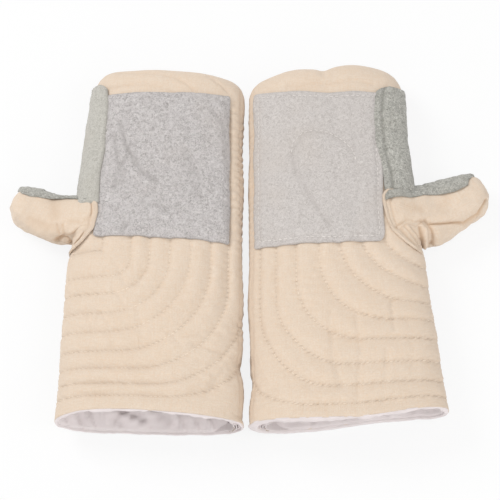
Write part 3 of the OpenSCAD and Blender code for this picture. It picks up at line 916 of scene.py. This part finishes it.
def patch_shape(h):
    def shape(x, y, z):
        u, v = patch_plan(h, x, y)
        turn = turn_of(h, v, u)
        p, _, _ = form(h, v, turn)
        under, _ = relief(h, p, u, v, np.ones(len(x), bool))
        edge = from_edge(x, y, PATCH_WIDE, PATCH_LONG)
        lift = under * 0.5 + 1.7 * smooth((edge - 1) / 9)
        # crease marks the folds, which the suede finish paints darker as painted shade
        crease = np.zeros(len(x))
        for line, deep, reach in PATCH_FOLDS[h]:
            near = near_line(u, v, line, reach)
            lift = lift - deep * 0.8 * near
            crease = np.maximum(crease, near * min(1, deep / 1.6))
        lift = lift - SEWN_DOWN[h] * ridge(edge, BORDER_IN, 1.5)
        lift = lift + ROUGH[h] * nap(p, 5.0, 51) * smooth(edge / 3) + 0.3 * waves(p, 16, 52)
        top = np.maximum(lift, under + 0.15) + 1.3 + 0.5 * smooth(edge / 1.6)
        lift = np.where(z > 0.5, top, np.minimum(under + 0.25, top - 0.9))
        return p + out_of(h, v, turn) * lift[:, None], {"groove": crease, "edge": 1 - smooth(edge / 3)}
    return shape


patches = {}
for h in HANDS:
    patch = slab(h + "_suede_patch", 104 if FINE else 64, 130 if FINE else 80)
    patches[h] = place(patch, patch_shape(h))

# %% [markdown]
# ## Suede on the finger edge and the thumb
# A strip of thicker, fuzzier suede is folded over the thumb side of the fingers, from near the fingertips
# down to the crotch, and a second one covers the thumb's upper side. On the right mitten the inner edge of
# the finger strip is folded under, which makes a soft double ridge.

# %% Shape the finger strips
STRIP_INSIDE = {  # the strip's inner edge: distances from the mouth, and outwards
    "left": [(350, 137), (321, 134.5), (272, 136), (250, 139.5), (216, 140)],
    "right": [(350, 128), (330, 122.5), (310, 121.5), (268, 125), (247, 130), (218, 132)],
}
STRIP_TOP = {"left": 349.0, "right": 344.0}
STRIP_END = {"left": CROTCH - 15.0, "right": CROTCH - 2.0}
STRIP_ROUND = 10.0  # how round its upper inner corner is cut
STRIP_SIZE = (38, 110)  # roughly its width and length
STRIP_WIDE = {"left": 30, "right": 44}  # its width as laid round the side
STRIP_THICK = {"left": 2.4, "right": 1.3}
SIDE_SEAM = 0.515  # the share of the way round at which the strip ends, just under the side


def strip_shape(h):
    def shape(x, y, z):
        long_way = STRIP_TOP[h] - STRIP_END[h]
        v = STRIP_END[h] + long_way * y
        table = np.array(STRIP_INSIDE[h][::-1], float)
        t0 = turn_of(h, v, np.interp(v, table[:, 0], table[:, 1]))
        over = np.clip(STRIP_ROUND - (1 - y) * long_way, 0, STRIP_ROUND)
        draw = (STRIP_ROUND - np.sqrt(STRIP_ROUND ** 2 - over * over)) / 190
        turn = t0 + draw + (SIDE_SEAM - t0 - draw) * x
        p, _, v = form(h, v, turn)
        from_fold = (turn - t0) / (SIDE_SEAM - t0) * STRIP_WIDE[h]
        seam = ridge(from_fold, 6.0, 1.2)
        edge = from_edge(x, y, *STRIP_SIZE)
        if h == "right":
            roll = smooth((from_fold - 5.5) / 5) * (1 - 0.9 * smooth((x - 0.5) / 0.35))
            body = STRIP_THICK[h] + 2.3 * roll - 0.9 * seam
        else:
            body = STRIP_THICK[h] - 0.4 * ridge(from_fold, 4, 1.2)
        fuzz = 0.3 * nap(p, 4.2, 61) + 0.3 * waves(p, 13, 62)
        lift = np.where(z > 0.5, 1.7 + (body + fuzz) * np.sqrt(smooth(edge / 3.2)), 0.9)
        # painted shade along the right strip's folded-under seam
        groove = seam * smooth((1 - y) / 0.06) * (h == "right")
        return p + out_of(h, v, turn) * lift[:, None], {"groove": groove, "edge": 1 - smooth(edge / 4)}
    return shape


strips = {}
for h in HANDS:
    strip = slab(h + "_finger_strip", 48, 110)
    strips[h] = place(strip, strip_shape(h))


# %% Shape the thumb strips
THUMB_STRIP_AT = [0, 0.1, 0.2, 0.3, 0.45, 0.66, 0.82, 0.92, 1.0]
THUMB_STRIP_WIDE = {  # how far round the thumb it reaches each way, at those shares of its length
    "left": [0.17, 0.14, 0.11, 0.105, 0.125, 0.155, 0.175, 0.16, 0.10],
    "right": [0.215, 0.18, 0.15, 0.145, 0.16, 0.188, 0.175, 0.11, 0.02],
}
THUMB_STRIP_FROM, THUMB_STRIP_TO = 0.004, 0.90  # shares of the thumb's length
THUMB_STRIP_SIZE = (22, 70)  # roughly its width and length
THUMB_STRIP_BODY = {"left": [0.5, 0.6, 1.5, 1.7], "right": [0.9, 1.0, 1.5, 1.7]}  # thicker towards the tip


def thumb_strip_shape(h):
    def shape(x, y, z):
        s = THUMB_STRIP_FROM + (THUMB_STRIP_TO - THUMB_STRIP_FROM) * y
        wide = np.interp(y, THUMB_STRIP_AT, THUMB_STRIP_WIDE[h])
        turn = np.where(x < 0.5, wide * (1 - 2 * x), 1 - wide * (2 * x - 1))
        base = thumb_form(h, s, turn)
        n = normals(lambda a, b: thumb_form(h, np.clip(a, 0, 1), b % 1.0), s, turn, 0.004, 0.003) * -SIDE[h]
        near = (np.minimum(turn, 1 - turn) < 0.004)[:, None]
        out = np.array([-SIDE[h] * THUMB[h]["e1"][1], THUMB[h]["e1"][0], 0.0])
        n = np.where(near, np.broadcast_to(out / np.linalg.norm(out), n.shape), n)
        edge = from_edge(x, y, *THUMB_STRIP_SIZE)
        fuzz = 0.35 * waves(base, 5, 71) + 0.3 * waves(base, 12, 72)
        body = np.interp(y, [0, 0.35, 0.55, 1], THUMB_STRIP_BODY[h])
        top = 1.2 + body * smooth(edge / 2.4 + 0.2) + fuzz * smooth(edge / 2)
        lift = 0.9 * smooth((0.2 - y) / 0.2) + np.where(z > 0.5, top, 0.6)
        return base + n * lift[:, None], {"groove": np.zeros(len(x)), "edge": 1 - smooth(edge / 3)}
    return shape


thumb_strips = {}
for h in HANDS:
    piece = slab(h + "_thumb_suede", 40, 90)
    thumb_strips[h] = place(piece, thumb_strip_shape(h))

# %% [markdown]
# ## Threads
# Stitches are real thread: short rods that follow each row of the quilting, in cream, and white ones round
# the edge of the right palm patch and along the leaf-shaped row in its middle. Each stitch is a rod of five
# sides, because there are thousands of them.

# %% Sew with short rods
def sew(name, stitches, radius):
    """One object of short rods, each between a stitch's two ends, in millimetres."""
    bm = bmesh.new()
    for a, b in stitches:
        a, b = Vector(a / 1000), Vector(b / 1000)
        turned = (b - a).to_track_quat("Z", "Y").to_matrix().to_4x4()
        bmesh.ops.create_cone(bm, cap_ends=True, segments=5, radius1=radius / 1000, radius2=radius / 1000,
                              depth=(b - a).length, matrix=Matrix.Translation((a + b) / 2) @ turned)
    print(name, len(stitches), "stitches")
    return new_piece(name, bm)


def stitches_along(row, length, gap):
    """Cuts a row of places on the cloth into stitches, each as its two ends."""
    fine = walk(row, 0.4)
    per, hop = max(2, round(length / 0.4)), max(3, round((length + gap) / 0.4))
    ends = [(fine[i], fine[i + per]) for i in range(0, len(fine) - per, hop)]
    return [(a, b) for a, b in ends if 0.01 <= np.linalg.norm(b - a) <= 10]


# %% Sew the quilting
def row_point(h, level, along):
    """The plan place at a distance along one row of quilting."""
    cu, cv = CORNER_AT[h]
    r = min(TURN_R[h], level)
    bend = level - r
    if along <= bend:
        u, v = cu - level, cv - along
    elif along <= bend + r * math.pi / 2:
        a = (along - bend) / r
        u, v = cu - bend - r * math.cos(a), cv - bend - r * math.sin(a)
    else:
        u, v = cu - level + (along - bend - r * math.pi / 2) + r, cv - level
    return u, float(np.interp(v, DRIFT[h][1], DRIFT[h][0]))


def on_canvas(h, u, v, palm):
    """Places just proud of the quilted canvas."""
    turn = turn_of(h, v, u, palm)
    p, _, _ = form(h, v, turn)
    lift, _ = relief(h, p, u, v, np.full(len(u), palm))
    q = p + out_of(h, v, turn) * (lift + 0.1)[:, None]
    q[:, 2] = np.maximum(q[:, 2], 0.25)
    return q


HALF_STITCH = 1.35  # half the length of a stitch


def row_stitches(h, level, palm):
    """Each stitch of a row as its two ends, on the cloth."""
    ends = []
    for k in range(-60, 120):
        ends += [row_point(h, level, k * STITCH + half) for half in (-HALF_STITCH, HALF_STITCH)]
    u, v = np.array(ends).T
    points = on_canvas(h, u, v, palm)
    keep = (v > 7) & (v < (321 if palm else 345)) & (u > INNER + 3) & (u < INNER + width(h, v) - 1.5)
    if palm:
        keep &= patch_cover(h, u, v) < 0.05
    pairs = points.reshape(-1, 2, 3)
    return pairs[keep.reshape(-1, 2).all(axis=1)]


quilt_threads = {}
for h in HANDS:
    rows = [row_stitches(h, level, palm) for level in ROWS[h] if level > 10 for palm in (True, False)]
    quilt_threads[h] = sew(h + "_quilting_thread", np.concatenate(rows), 0.28)

# %% Sew the right patch
LEAF = [(44, 266), (45, 276), (54, 285), (66, 289), (79, 287), (92, 280), (103, 268), (106, 256)]


def on_patch(x, y, proud):
    """Places above the right patch."""
    return patch_shape("right")(x, y, np.ones(len(x)))[0] + np.array([0, 0, proud])


def border_row():
    a, b = BORDER_IN / PATCH_WIDE, BORDER_IN / PATCH_LONG
    corners = [(a, 1 - b), (a, b), (1 - a, b), (1 - a, 1 - b), (a, 1 - b)]
    return on_patch(*walk(corners, 0.01).T, 0.3)


def leaf_row():
    (u0, u1), (v0, v1) = PATCH["right"]["u"], PATCH["right"]["v"]
    u, v = walk(LEAF, 1.5).T
    return on_patch((u - u0) / (u1 - u0), (v - v0) / (v1 - v0), 0.35)


patch_rows = [stitches_along(row, 2.8, 2.4) for row in (border_row(), leaf_row())]
patch_thread = sew("right_patch_thread", patch_rows[0] + patch_rows[1], 0.34)

# %% Loose thread at the seam ends
def loose_thread(h, seed):
    """A few short curls of overlocking thread on the folded seam."""
    rng = np.random.default_rng(seed)
    stitches = []
    for i in range(9):
        x = 0.2 + 0.5 * rng.random() + np.linspace(-0.03, 0.03, 8) + 0.008 * np.sin(np.linspace(0, 5, 8) + i)
        y = 0.4 + 0.12 * rng.random() + 0.1 * np.sin(np.linspace(0, 4, 8) + i * 2)
        stitches += stitches_along(leaf_shape(h, *LEAVES[2])(x, y, np.full(8, 1.5)), 1.2, 0.1)
    return sew(h + "_seam_thread", stitches, 0.22)


seam_threads = {h: loose_thread(h, 7 + i) for i, h in enumerate(HANDS)}

# %% [markdown]
# ## Cloth and suede finishes
# Shader maths is easier to read as ordinary sums, so `Wire` wraps a socket and overloads the operators, and
# `Finish` holds one material and the one method that adds a node of any kind.

# %% A small language for materials
class Wire:
    def __init__(self, finish, socket):
        self.finish, self.socket = finish, socket

    def sum_of(self, operation, a, b):
        return self.finish.add("ShaderNodeMath", {"operation": operation}, {0: a, 1: b})

    def __add__(self, b): return self.sum_of("ADD", self, b)
    def __radd__(self, b): return self.sum_of("ADD", b, self)
    def __sub__(self, b): return self.sum_of("SUBTRACT", self, b)
    def __rsub__(self, b): return self.sum_of("SUBTRACT", b, self)
    def __mul__(self, b): return self.sum_of("MULTIPLY", self, b)
    def __rmul__(self, b): return self.sum_of("MULTIPLY", b, self)


class Finish:
    def __init__(self, name):
        self.material = bpy.data.materials.new(name)
        self.material.use_nodes = True
        self.tree = self.material.node_tree
        self.tree.nodes.clear()

    def add(self, kind, settings=None, inputs=None, out=0):
        node = self.tree.nodes.new(kind)
        for key, value in (settings or {}).items():
            if key == "stops":
                ramp = node.color_ramp
                while len(ramp.elements) < len(value):
                    ramp.elements.new(0.5)
                for element, (at, colour) in zip(ramp.elements, value):
                    element.position, element.color = at, (*colour, 1)
            else:
                setattr(node, key, value)
        for key, value in (inputs or {}).items():
            if isinstance(value, Wire):
                self.tree.links.new(value.socket, node.inputs[key])
            elif isinstance(value, tuple) and len(value) == 3 and node.inputs[key].type == "RGBA":
                node.inputs[key].default_value = (*value, 1)
            else:
                node.inputs[key].default_value = value
        return Wire(self, node.outputs[out]) if len(node.outputs) else None

    def clamped(self, wire):
        return self.add("ShaderNodeMath", {"operation": "ADD", "use_clamp": True}, {0: wire, 1: 0.0})

    def noise(self, at, scale, detail=3.0, rough=0.55, distortion=0.0):
        return self.add("ShaderNodeTexNoise", {}, {"Vector": at, "Scale": scale, "Detail": detail,
                                                   "Roughness": rough, "Distortion": distortion})

    def blend(self, share, a, b, how="MIX"):
        """Mixes two colours."""
        node = self.tree.nodes.new("ShaderNodeMix")
        node.data_type, node.blend_type, node.clamp_factor = "RGBA", how, True
        for key, value in ((0, share), (6, a), (7, b)):
            if isinstance(value, Wire):
                self.tree.links.new(value.socket, node.inputs[key])
            else:
                node.inputs[key].default_value = (*value, 1) if isinstance(value, tuple) else value
        return Wire(self, node.outputs[2])

    def mark(self, name):
        return self.add("ShaderNodeAttribute", {"attribute_name": name}, out=2)

    def surface(self, colour, roughness, bump=None, strength=1.0, distance=0.001, sheen=0.0):
        links = {"Base Color": colour, "Roughness": roughness, "Sheen Weight": sheen, "Sheen Roughness": 0.6,
                 "Specular IOR Level": 0.25}
        if bump is not None:
            links["Normal"] = self.add("ShaderNodeBump", {}, {"Height": bump, "Strength": strength,
                                                             "Distance": distance})
        shader = self.add("ShaderNodeBsdfPrincipled", {}, links)
        self.add("ShaderNodeOutputMaterial", {}, {"Surface": shader})
        return self.material


def linear(*colour):
    """A colour as seen, 0 to 255, as the linear values that the shader takes."""
    shares = [c / 255 for c in colour]
    return tuple(c / 12.92 if c < 0.04045 else ((c + 0.055) / 1.055) ** 2.4 for c in shares)


print("finishes read Object coordinates or the cloth's own map")

# %% [markdown]
# ### Canvas
# Plain-woven cotton duck: threads about a millimetre apart in both directions, a little uneven, warm cream.
# The weave is two crossing sets of waves on the cloth's own map. Slubs and faint soiling vary the colour,
# and the stitched grooves, their holes and the creases are painted darker: that darkening is painted shade.

# %% Canvas finish
def canvas_finish(name, across, along, quilted=True):
    """across and along are the real size of the cloth's map, in millimetres."""
    f = Finish(name)
    uv = f.add("ShaderNodeUVMap", {"uv_map": "cloth"})
    flat = f.add("ShaderNodeMapping", {}, {"Vector": uv, "Scale": (across, along, 1)})
    at = f.add("ShaderNodeTexCoord", out=3)
    bands = {"wave_type": "BANDS", "wave_profile": "SIN"}
    ripple = {"Vector": flat, "Scale": 0.27, "Distortion": 1.4, "Detail": 2.0, "Detail Scale": 0.5}
    weft = f.add("ShaderNodeTexWave", {**bands, "bands_direction": "Y"}, ripple, out=1)
    warp = f.add("ShaderNodeTexWave", {**bands, "bands_direction": "X"}, ripple, out=1)
    weave = weft * 0.5 + warp * 0.5
    grain = f.noise(flat, 0.75, 2, 0.7)
    slub = f.noise(f.add("ShaderNodeMapping", {}, {"Vector": flat, "Scale": (0.07, 0.8, 1)}), 1.0, 4)
    long_slub = f.noise(f.add("ShaderNodeMapping", {}, {"Vector": flat, "Scale": (0.9, 0.06, 1)}), 1.0, 3)
    stain = f.noise(at, 13.0, 4)
    uneven = f.noise(flat, 0.2, 2)
    colour = f.blend(uneven, linear(224, 210, 195), linear(215, 199, 182))
    colour = f.blend(weave * 0.22, colour, linear(212, 189, 164))
    colour = f.blend((grain - 0.42) * 1.9, colour, linear(207, 183, 157))
    colour = f.blend((slub - 0.47) * 1.9, colour, linear(214, 190, 165))
    colour = f.blend((f.noise(flat, 0.42, 3, 0.6) - 0.56) * 2.2, colour, linear(226, 194, 160))
    colour = f.blend((long_slub - 0.47) * 1.7, colour, linear(214, 190, 165))
    colour = f.blend((stain - 0.5) * 0.9, colour, linear(217, 193, 168))
    height = weave * 0.5 + slub * 0.3 + grain * 0.9
    if quilted:
        near = f.clamped(1 - f.mark("away") * 0.75)
        beat = f.add("ShaderNodeMath", {"operation": "FRACT"}, {0: f.mark("along") * (1 / STITCH)})
        off_beat = f.add("ShaderNodeMath", {"operation": "ABSOLUTE"}, {0: beat - 0.5})
        hole = f.clamped(off_beat * -6.0 + 1.0) * near
        # painted shade in the stitch holes along each row; the same holes also dip the bump
        colour = f.blend(hole * 0.24, colour, linear(176, 148, 120))
        height = height - hole * 3.0
    # painted shade in the grooves and creases that the pieces mark, faint on the wall and strong on the thumb
    colour = f.blend(f.mark("groove") * (0.07 if quilted else 0.8), colour, linear(196, 166, 136))
    return f.surface(colour, 0.9, height, 0.5, 0.0007, sheen=0.15)


CANVAS_WALL = canvas_finish("quilted_canvas", 400.0, 382.0)
CANVAS_THUMB = canvas_finish("thumb_canvas", 120.0, 110.0, quilted=False)
print("canvas:", CANVAS_WALL.name, CANVAS_THUMB.name)

# %% [markdown]
# ### Suede
# Split suede has a short nap that lies in all directions, so its tone is mottled and its surface is rough
# at every scale. The dark in the mottle is partly its own tone and partly painted shade in the pits between
# the nap's clumps, and its folds, seams and cut edges are painted darker as painted shade. The palm patch
# is a pale warm grey. The strips are greener, darker and fuzzier.

# %% Suede finishes
def suede_finish(name, tones, scale, strength, depth):
    """tones are its pale, middle and dark colours, as seen."""
    pale, mid, dark = (linear(*tone) for tone in tones)
    f = Finish(name)
    at = f.add("ShaderNodeTexCoord", out=3)
    broad = f.noise(at, 22.0, 3)
    clumps = f.noise(at, scale, 4, 0.6, 1.3)
    hairs = f.noise(at, scale * 2.7, 4, 0.75, 0.8)
    groove, edge = f.mark("groove"), f.mark("edge")
    # the ramp is partly the nap's own mottle and partly painted shade in the pits between its clumps
    tone = f.add("ShaderNodeValToRGB", {"stops": [(0.40, dark), (0.50, mid), (0.60, pale)]},
                 {"Fac": clumps * 0.45 + hairs * 0.55})
    colour = f.blend((broad - 0.45) * 0.7, tone, mid)
    warmer = tuple(c * w for c, w in zip(mid, (0.98, 0.93, 0.87)))
    colour = f.blend((f.noise(at, 16.0, 2) - 0.5) * 1.4, colour, warmer)
    # painted shade in the folds and seams marked on the piece
    colour = f.blend(groove * 0.5, colour, dark)
    # painted shade along the cut edges, where the piece rolls down to the cloth
    colour = f.blend(edge * 0.2, colour, dark)
    height = clumps * 0.7 + hairs * 0.4
    return f.surface(colour, 0.95, height, strength, depth, sheen=0.25)


PALE_ROUGH = suede_finish("pale_rough_suede", [(232, 227, 225), (213, 207, 205), (172, 166, 163)],
                          300, 1.0, 0.0035)
PALE_FINE = suede_finish("pale_fine_suede", [(208, 202, 198), (195, 189, 185), (170, 163, 158)],
                         420, 0.6, 0.0014)
GREEN_PALE = suede_finish("green_short_suede", [(202, 199, 191), (185, 182, 174), (160, 157, 148)],
                          420, 0.7, 0.0016)
GREEN_FUZZ = suede_finish("green_fuzzy_suede", [(224, 222, 214), (184, 182, 174), (140, 138, 129)],
                          380, 1.0, 0.0028)
print("suede:", *[finish.name for finish in (PALE_ROUGH, PALE_FINE, GREEN_PALE, GREEN_FUZZ)])

# %% [markdown]
# ### Lining and thread
# The lining is thin white cotton that has taken a slight pink cast. Its creases do most of the work. Thread
# is plain cotton, cream in the quilting, white on the suede and brown where the seam is bound.

# %% Lining and thread finishes
def lining_finish():
    """Thin cotton, with painted shade beside its folds and, in the right mitten, deep inside the mouth."""
    f = Finish("cotton_lining")
    at = f.add("ShaderNodeTexCoord", out=3)
    broad = f.noise(at, 40.0, 4)
    fine = f.noise(at, 700.0, 2)
    colour = f.blend(broad, linear(226, 218, 217), linear(209, 199, 198))
    colour = f.blend(f.mark("groove") * 0.32, colour, linear(186, 172, 170))
    return f.surface(colour, 0.85, fine * 0.3 + broad * 0.7, 0.3, 0.001, sheen=0.1)


def thread_finish(name, colour, shade):
    f = Finish(name)
    at = f.add("ShaderNodeTexCoord", out=3)
    twist = f.noise(at, 900.0, 2)
    return f.surface(f.blend(twist, colour, shade), 0.7, twist, 0.3, 0.0003)


LINING = lining_finish()
CREAM_THREAD = thread_finish("cream_thread", linear(240, 227, 211), linear(226, 210, 191))
BROWN_THREAD = thread_finish("brown_thread", linear(176, 146, 110), linear(146, 130, 92))
WHITE_THREAD = thread_finish("white_thread", linear(234, 230, 226), linear(216, 210, 205))
print("lining and threads:", LINING.name, CREAM_THREAD.name, BROWN_THREAD.name, WHITE_THREAD.name)

# %% [markdown]
# ## Finishes, and pieces joined to the frame
# Each piece takes its finish. The palm suede and its thread, the finger strips and the welts ride on the
# hand that they are sewn to, and the rims, folded seam ends and their thread ride on the cuff. The walls,
# linings, quilting thread, thumbs and thumb strips keep their place as built, and the CAD solids that the
# pieces stand for are hidden.

# %% Finish, ride and hide
def finish_with(piece, material):
    piece.data.materials.clear()
    piece.data.materials.append(material)


THUMB_BEND = (-8, 20)  # two distances out from the thumb's root
HALVES = ("palm", "back")


def wrist_blend(h, piece):
    h + "_cuff"
    h + "_hand"
    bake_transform(piece)


def thumb_blend(h, piece):
    plans = [THUMB[h]["root"] + out * THUMB[h]["e1"] for out in THUMB_BEND]
    start, end = (((PAIR_LINE + SIDE[h] * u) / 1000, (v - LENGTH / 2) / 1000, 0.0) for u, v in plans)
    h + "_hand"
    h + "_thumb"
    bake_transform(piece)


def stands_for(h, parts, layers):
    """Hides the CAD layers of parts of a mitten, upper and lower, that a piece stands for."""
    names = [f"{h}_{part}_{half}_{layer}" for part in parts for half in HALVES for layer in layers]
    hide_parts(*names)


finish_with(patch_thread, WHITE_THREAD)
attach(patch_thread, "right_hand")
for h in HANDS:
    finish_with(welts[h], CANVAS_THUMB)
    finish_with(walls[h], CANVAS_WALL)
    finish_with(thumbs[h], CANVAS_THUMB)
    finish_with(linings[h], LINING)
    finish_with(patches[h], PALE_ROUGH if h == "left" else PALE_FINE)
    finish_with(strips[h], GREEN_PALE if h == "left" else GREEN_FUZZ)
    finish_with(thumb_strips[h], GREEN_FUZZ)
    finish_with(quilt_threads[h], CREAM_THREAD)
    for piece in (walls[h], linings[h], quilt_threads[h]):
        wrist_blend(h, piece)
    thumb_blend(h, thumbs[h])
    thumb_blend(h, thumb_strips[h])
    at_mouth = [(rims[h], LINING), (seam_threads[h], BROWN_THREAD)]
    for piece, finish in at_mouth + [(leaf, LINING) for leaf in seam_leaves[h]]:
        finish_with(piece, finish)
        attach(piece, h + "_cuff")
    for piece in (patches[h], strips[h], welts[h]):
        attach(piece, h + "_hand")
    stands_for(h, ("cuff", "hand"), ("canvas", "batting"))
    stands_for(h, ("thumb",), ("canvas", "batting"))
    stands_for(h, ("thumb",), ("lining",))
    stands_for(h, ("cuff", "hand"), ("lining",))
    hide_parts(h + "_cuff_hem")
    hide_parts(h + "_palm_patch")
    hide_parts(h + "_edge_strip")
    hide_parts(h + "_thumb_strip")

# %% [markdown]
# ## Stage, light and camera
# The mittens lie on a plain white table under soft studio light, seen from 67 degrees above it. The table
# and the world are bright to the camera only, and the table still takes the mittens' shadow.

# %% Floor
def floor_finish():
    f = Finish("white_table")
    camera_ray = f.add("ShaderNodeLightPath", out=0)
    diffuse = f.add("ShaderNodeBsdfDiffuse", {}, {"Color": (0.80, 0.80, 0.80)})
    glow = f.add("ShaderNodeEmission", {}, {"Color": (1.0, 1.0, 1.0), "Strength": 1.0})
    mixed = f.add("ShaderNodeMixShader", {}, {0: camera_ray * 0.85, 1: diffuse, 2: glow})
    f.add("ShaderNodeOutputMaterial", {}, {"Surface": mixed})
    return f.material


bm = bmesh.new()
bmesh.ops.create_grid(bm, x_segments=4, y_segments=4, size=4.0, matrix=Matrix.Translation((0, 0, -0.0004)))
floor = new_piece("table", bm)
floor.data.materials.append(floor_finish())
print("table of", round(floor.dimensions.x, 1), "by", round(floor.dimensions.y, 1), "metres")


# %% Lamps and world
def lamp(name, place_at, aim, size, power):
    data = bpy.data.lights.new(name, "AREA")
    data.shape, data.size, data.energy = "DISK", size, power
    obj = bpy.data.objects.new(name, data)
    obj.location = place_at
    obj.rotation_euler = (Vector(aim) - Vector(place_at)).to_track_quat("-Z", "Y").to_euler()
    bpy.context.scene.collection.objects.link(obj)


lamp("key", (-1.6, 0.9, 1.6), (0, 0, 0), 1.2, 29)
lamp("fill", (1.6, -0.6, 1.5), (0, 0, 0), 1.6, 12)
lamp("front", (0.1, -1.7, 0.55), (0, -0.18, 0.03), 1.3, 9)

world = bpy.data.worlds.new("studio")
bpy.context.scene.world = world
world.use_nodes = True
tree = world.node_tree
background = tree.nodes["Background"]
background.inputs["Color"].default_value = (1, 1, 1, 1)
seen_white = tree.nodes.new("ShaderNodeMath")
seen_white.operation = "MULTIPLY_ADD"
seen_white.inputs[1].default_value = 0.32
seen_white.inputs[2].default_value = 0.68
tree.links.new(tree.nodes.new("ShaderNodeLightPath").outputs["Is Camera Ray"], seen_white.inputs[0])
tree.links.new(seen_white.outputs[0], background.inputs["Strength"])

# %% Camera
LENS, SENSOR, ELEVATION, FAR = 113.7, 36.0, 67.0, 1.5
camera_data = bpy.data.cameras.new("camera")
camera_data.lens, camera_data.sensor_width = LENS, SENSOR
camera = bpy.data.objects.new("camera", camera_data)
target = Vector((0, -0.010, 0.025))
e = math.radians(ELEVATION)
back = Vector((0, -math.cos(e), math.sin(e)))
camera.location = target + back * FAR
camera.rotation_euler = (-back).to_track_quat("-Z", "Y").to_euler()
bpy.context.scene.collection.objects.link(camera)
bpy.context.scene.camera = camera
bpy.context.scene.view_settings.view_transform = "Standard"
print("camera at", tuple(round(c, 3) for c in camera.location))
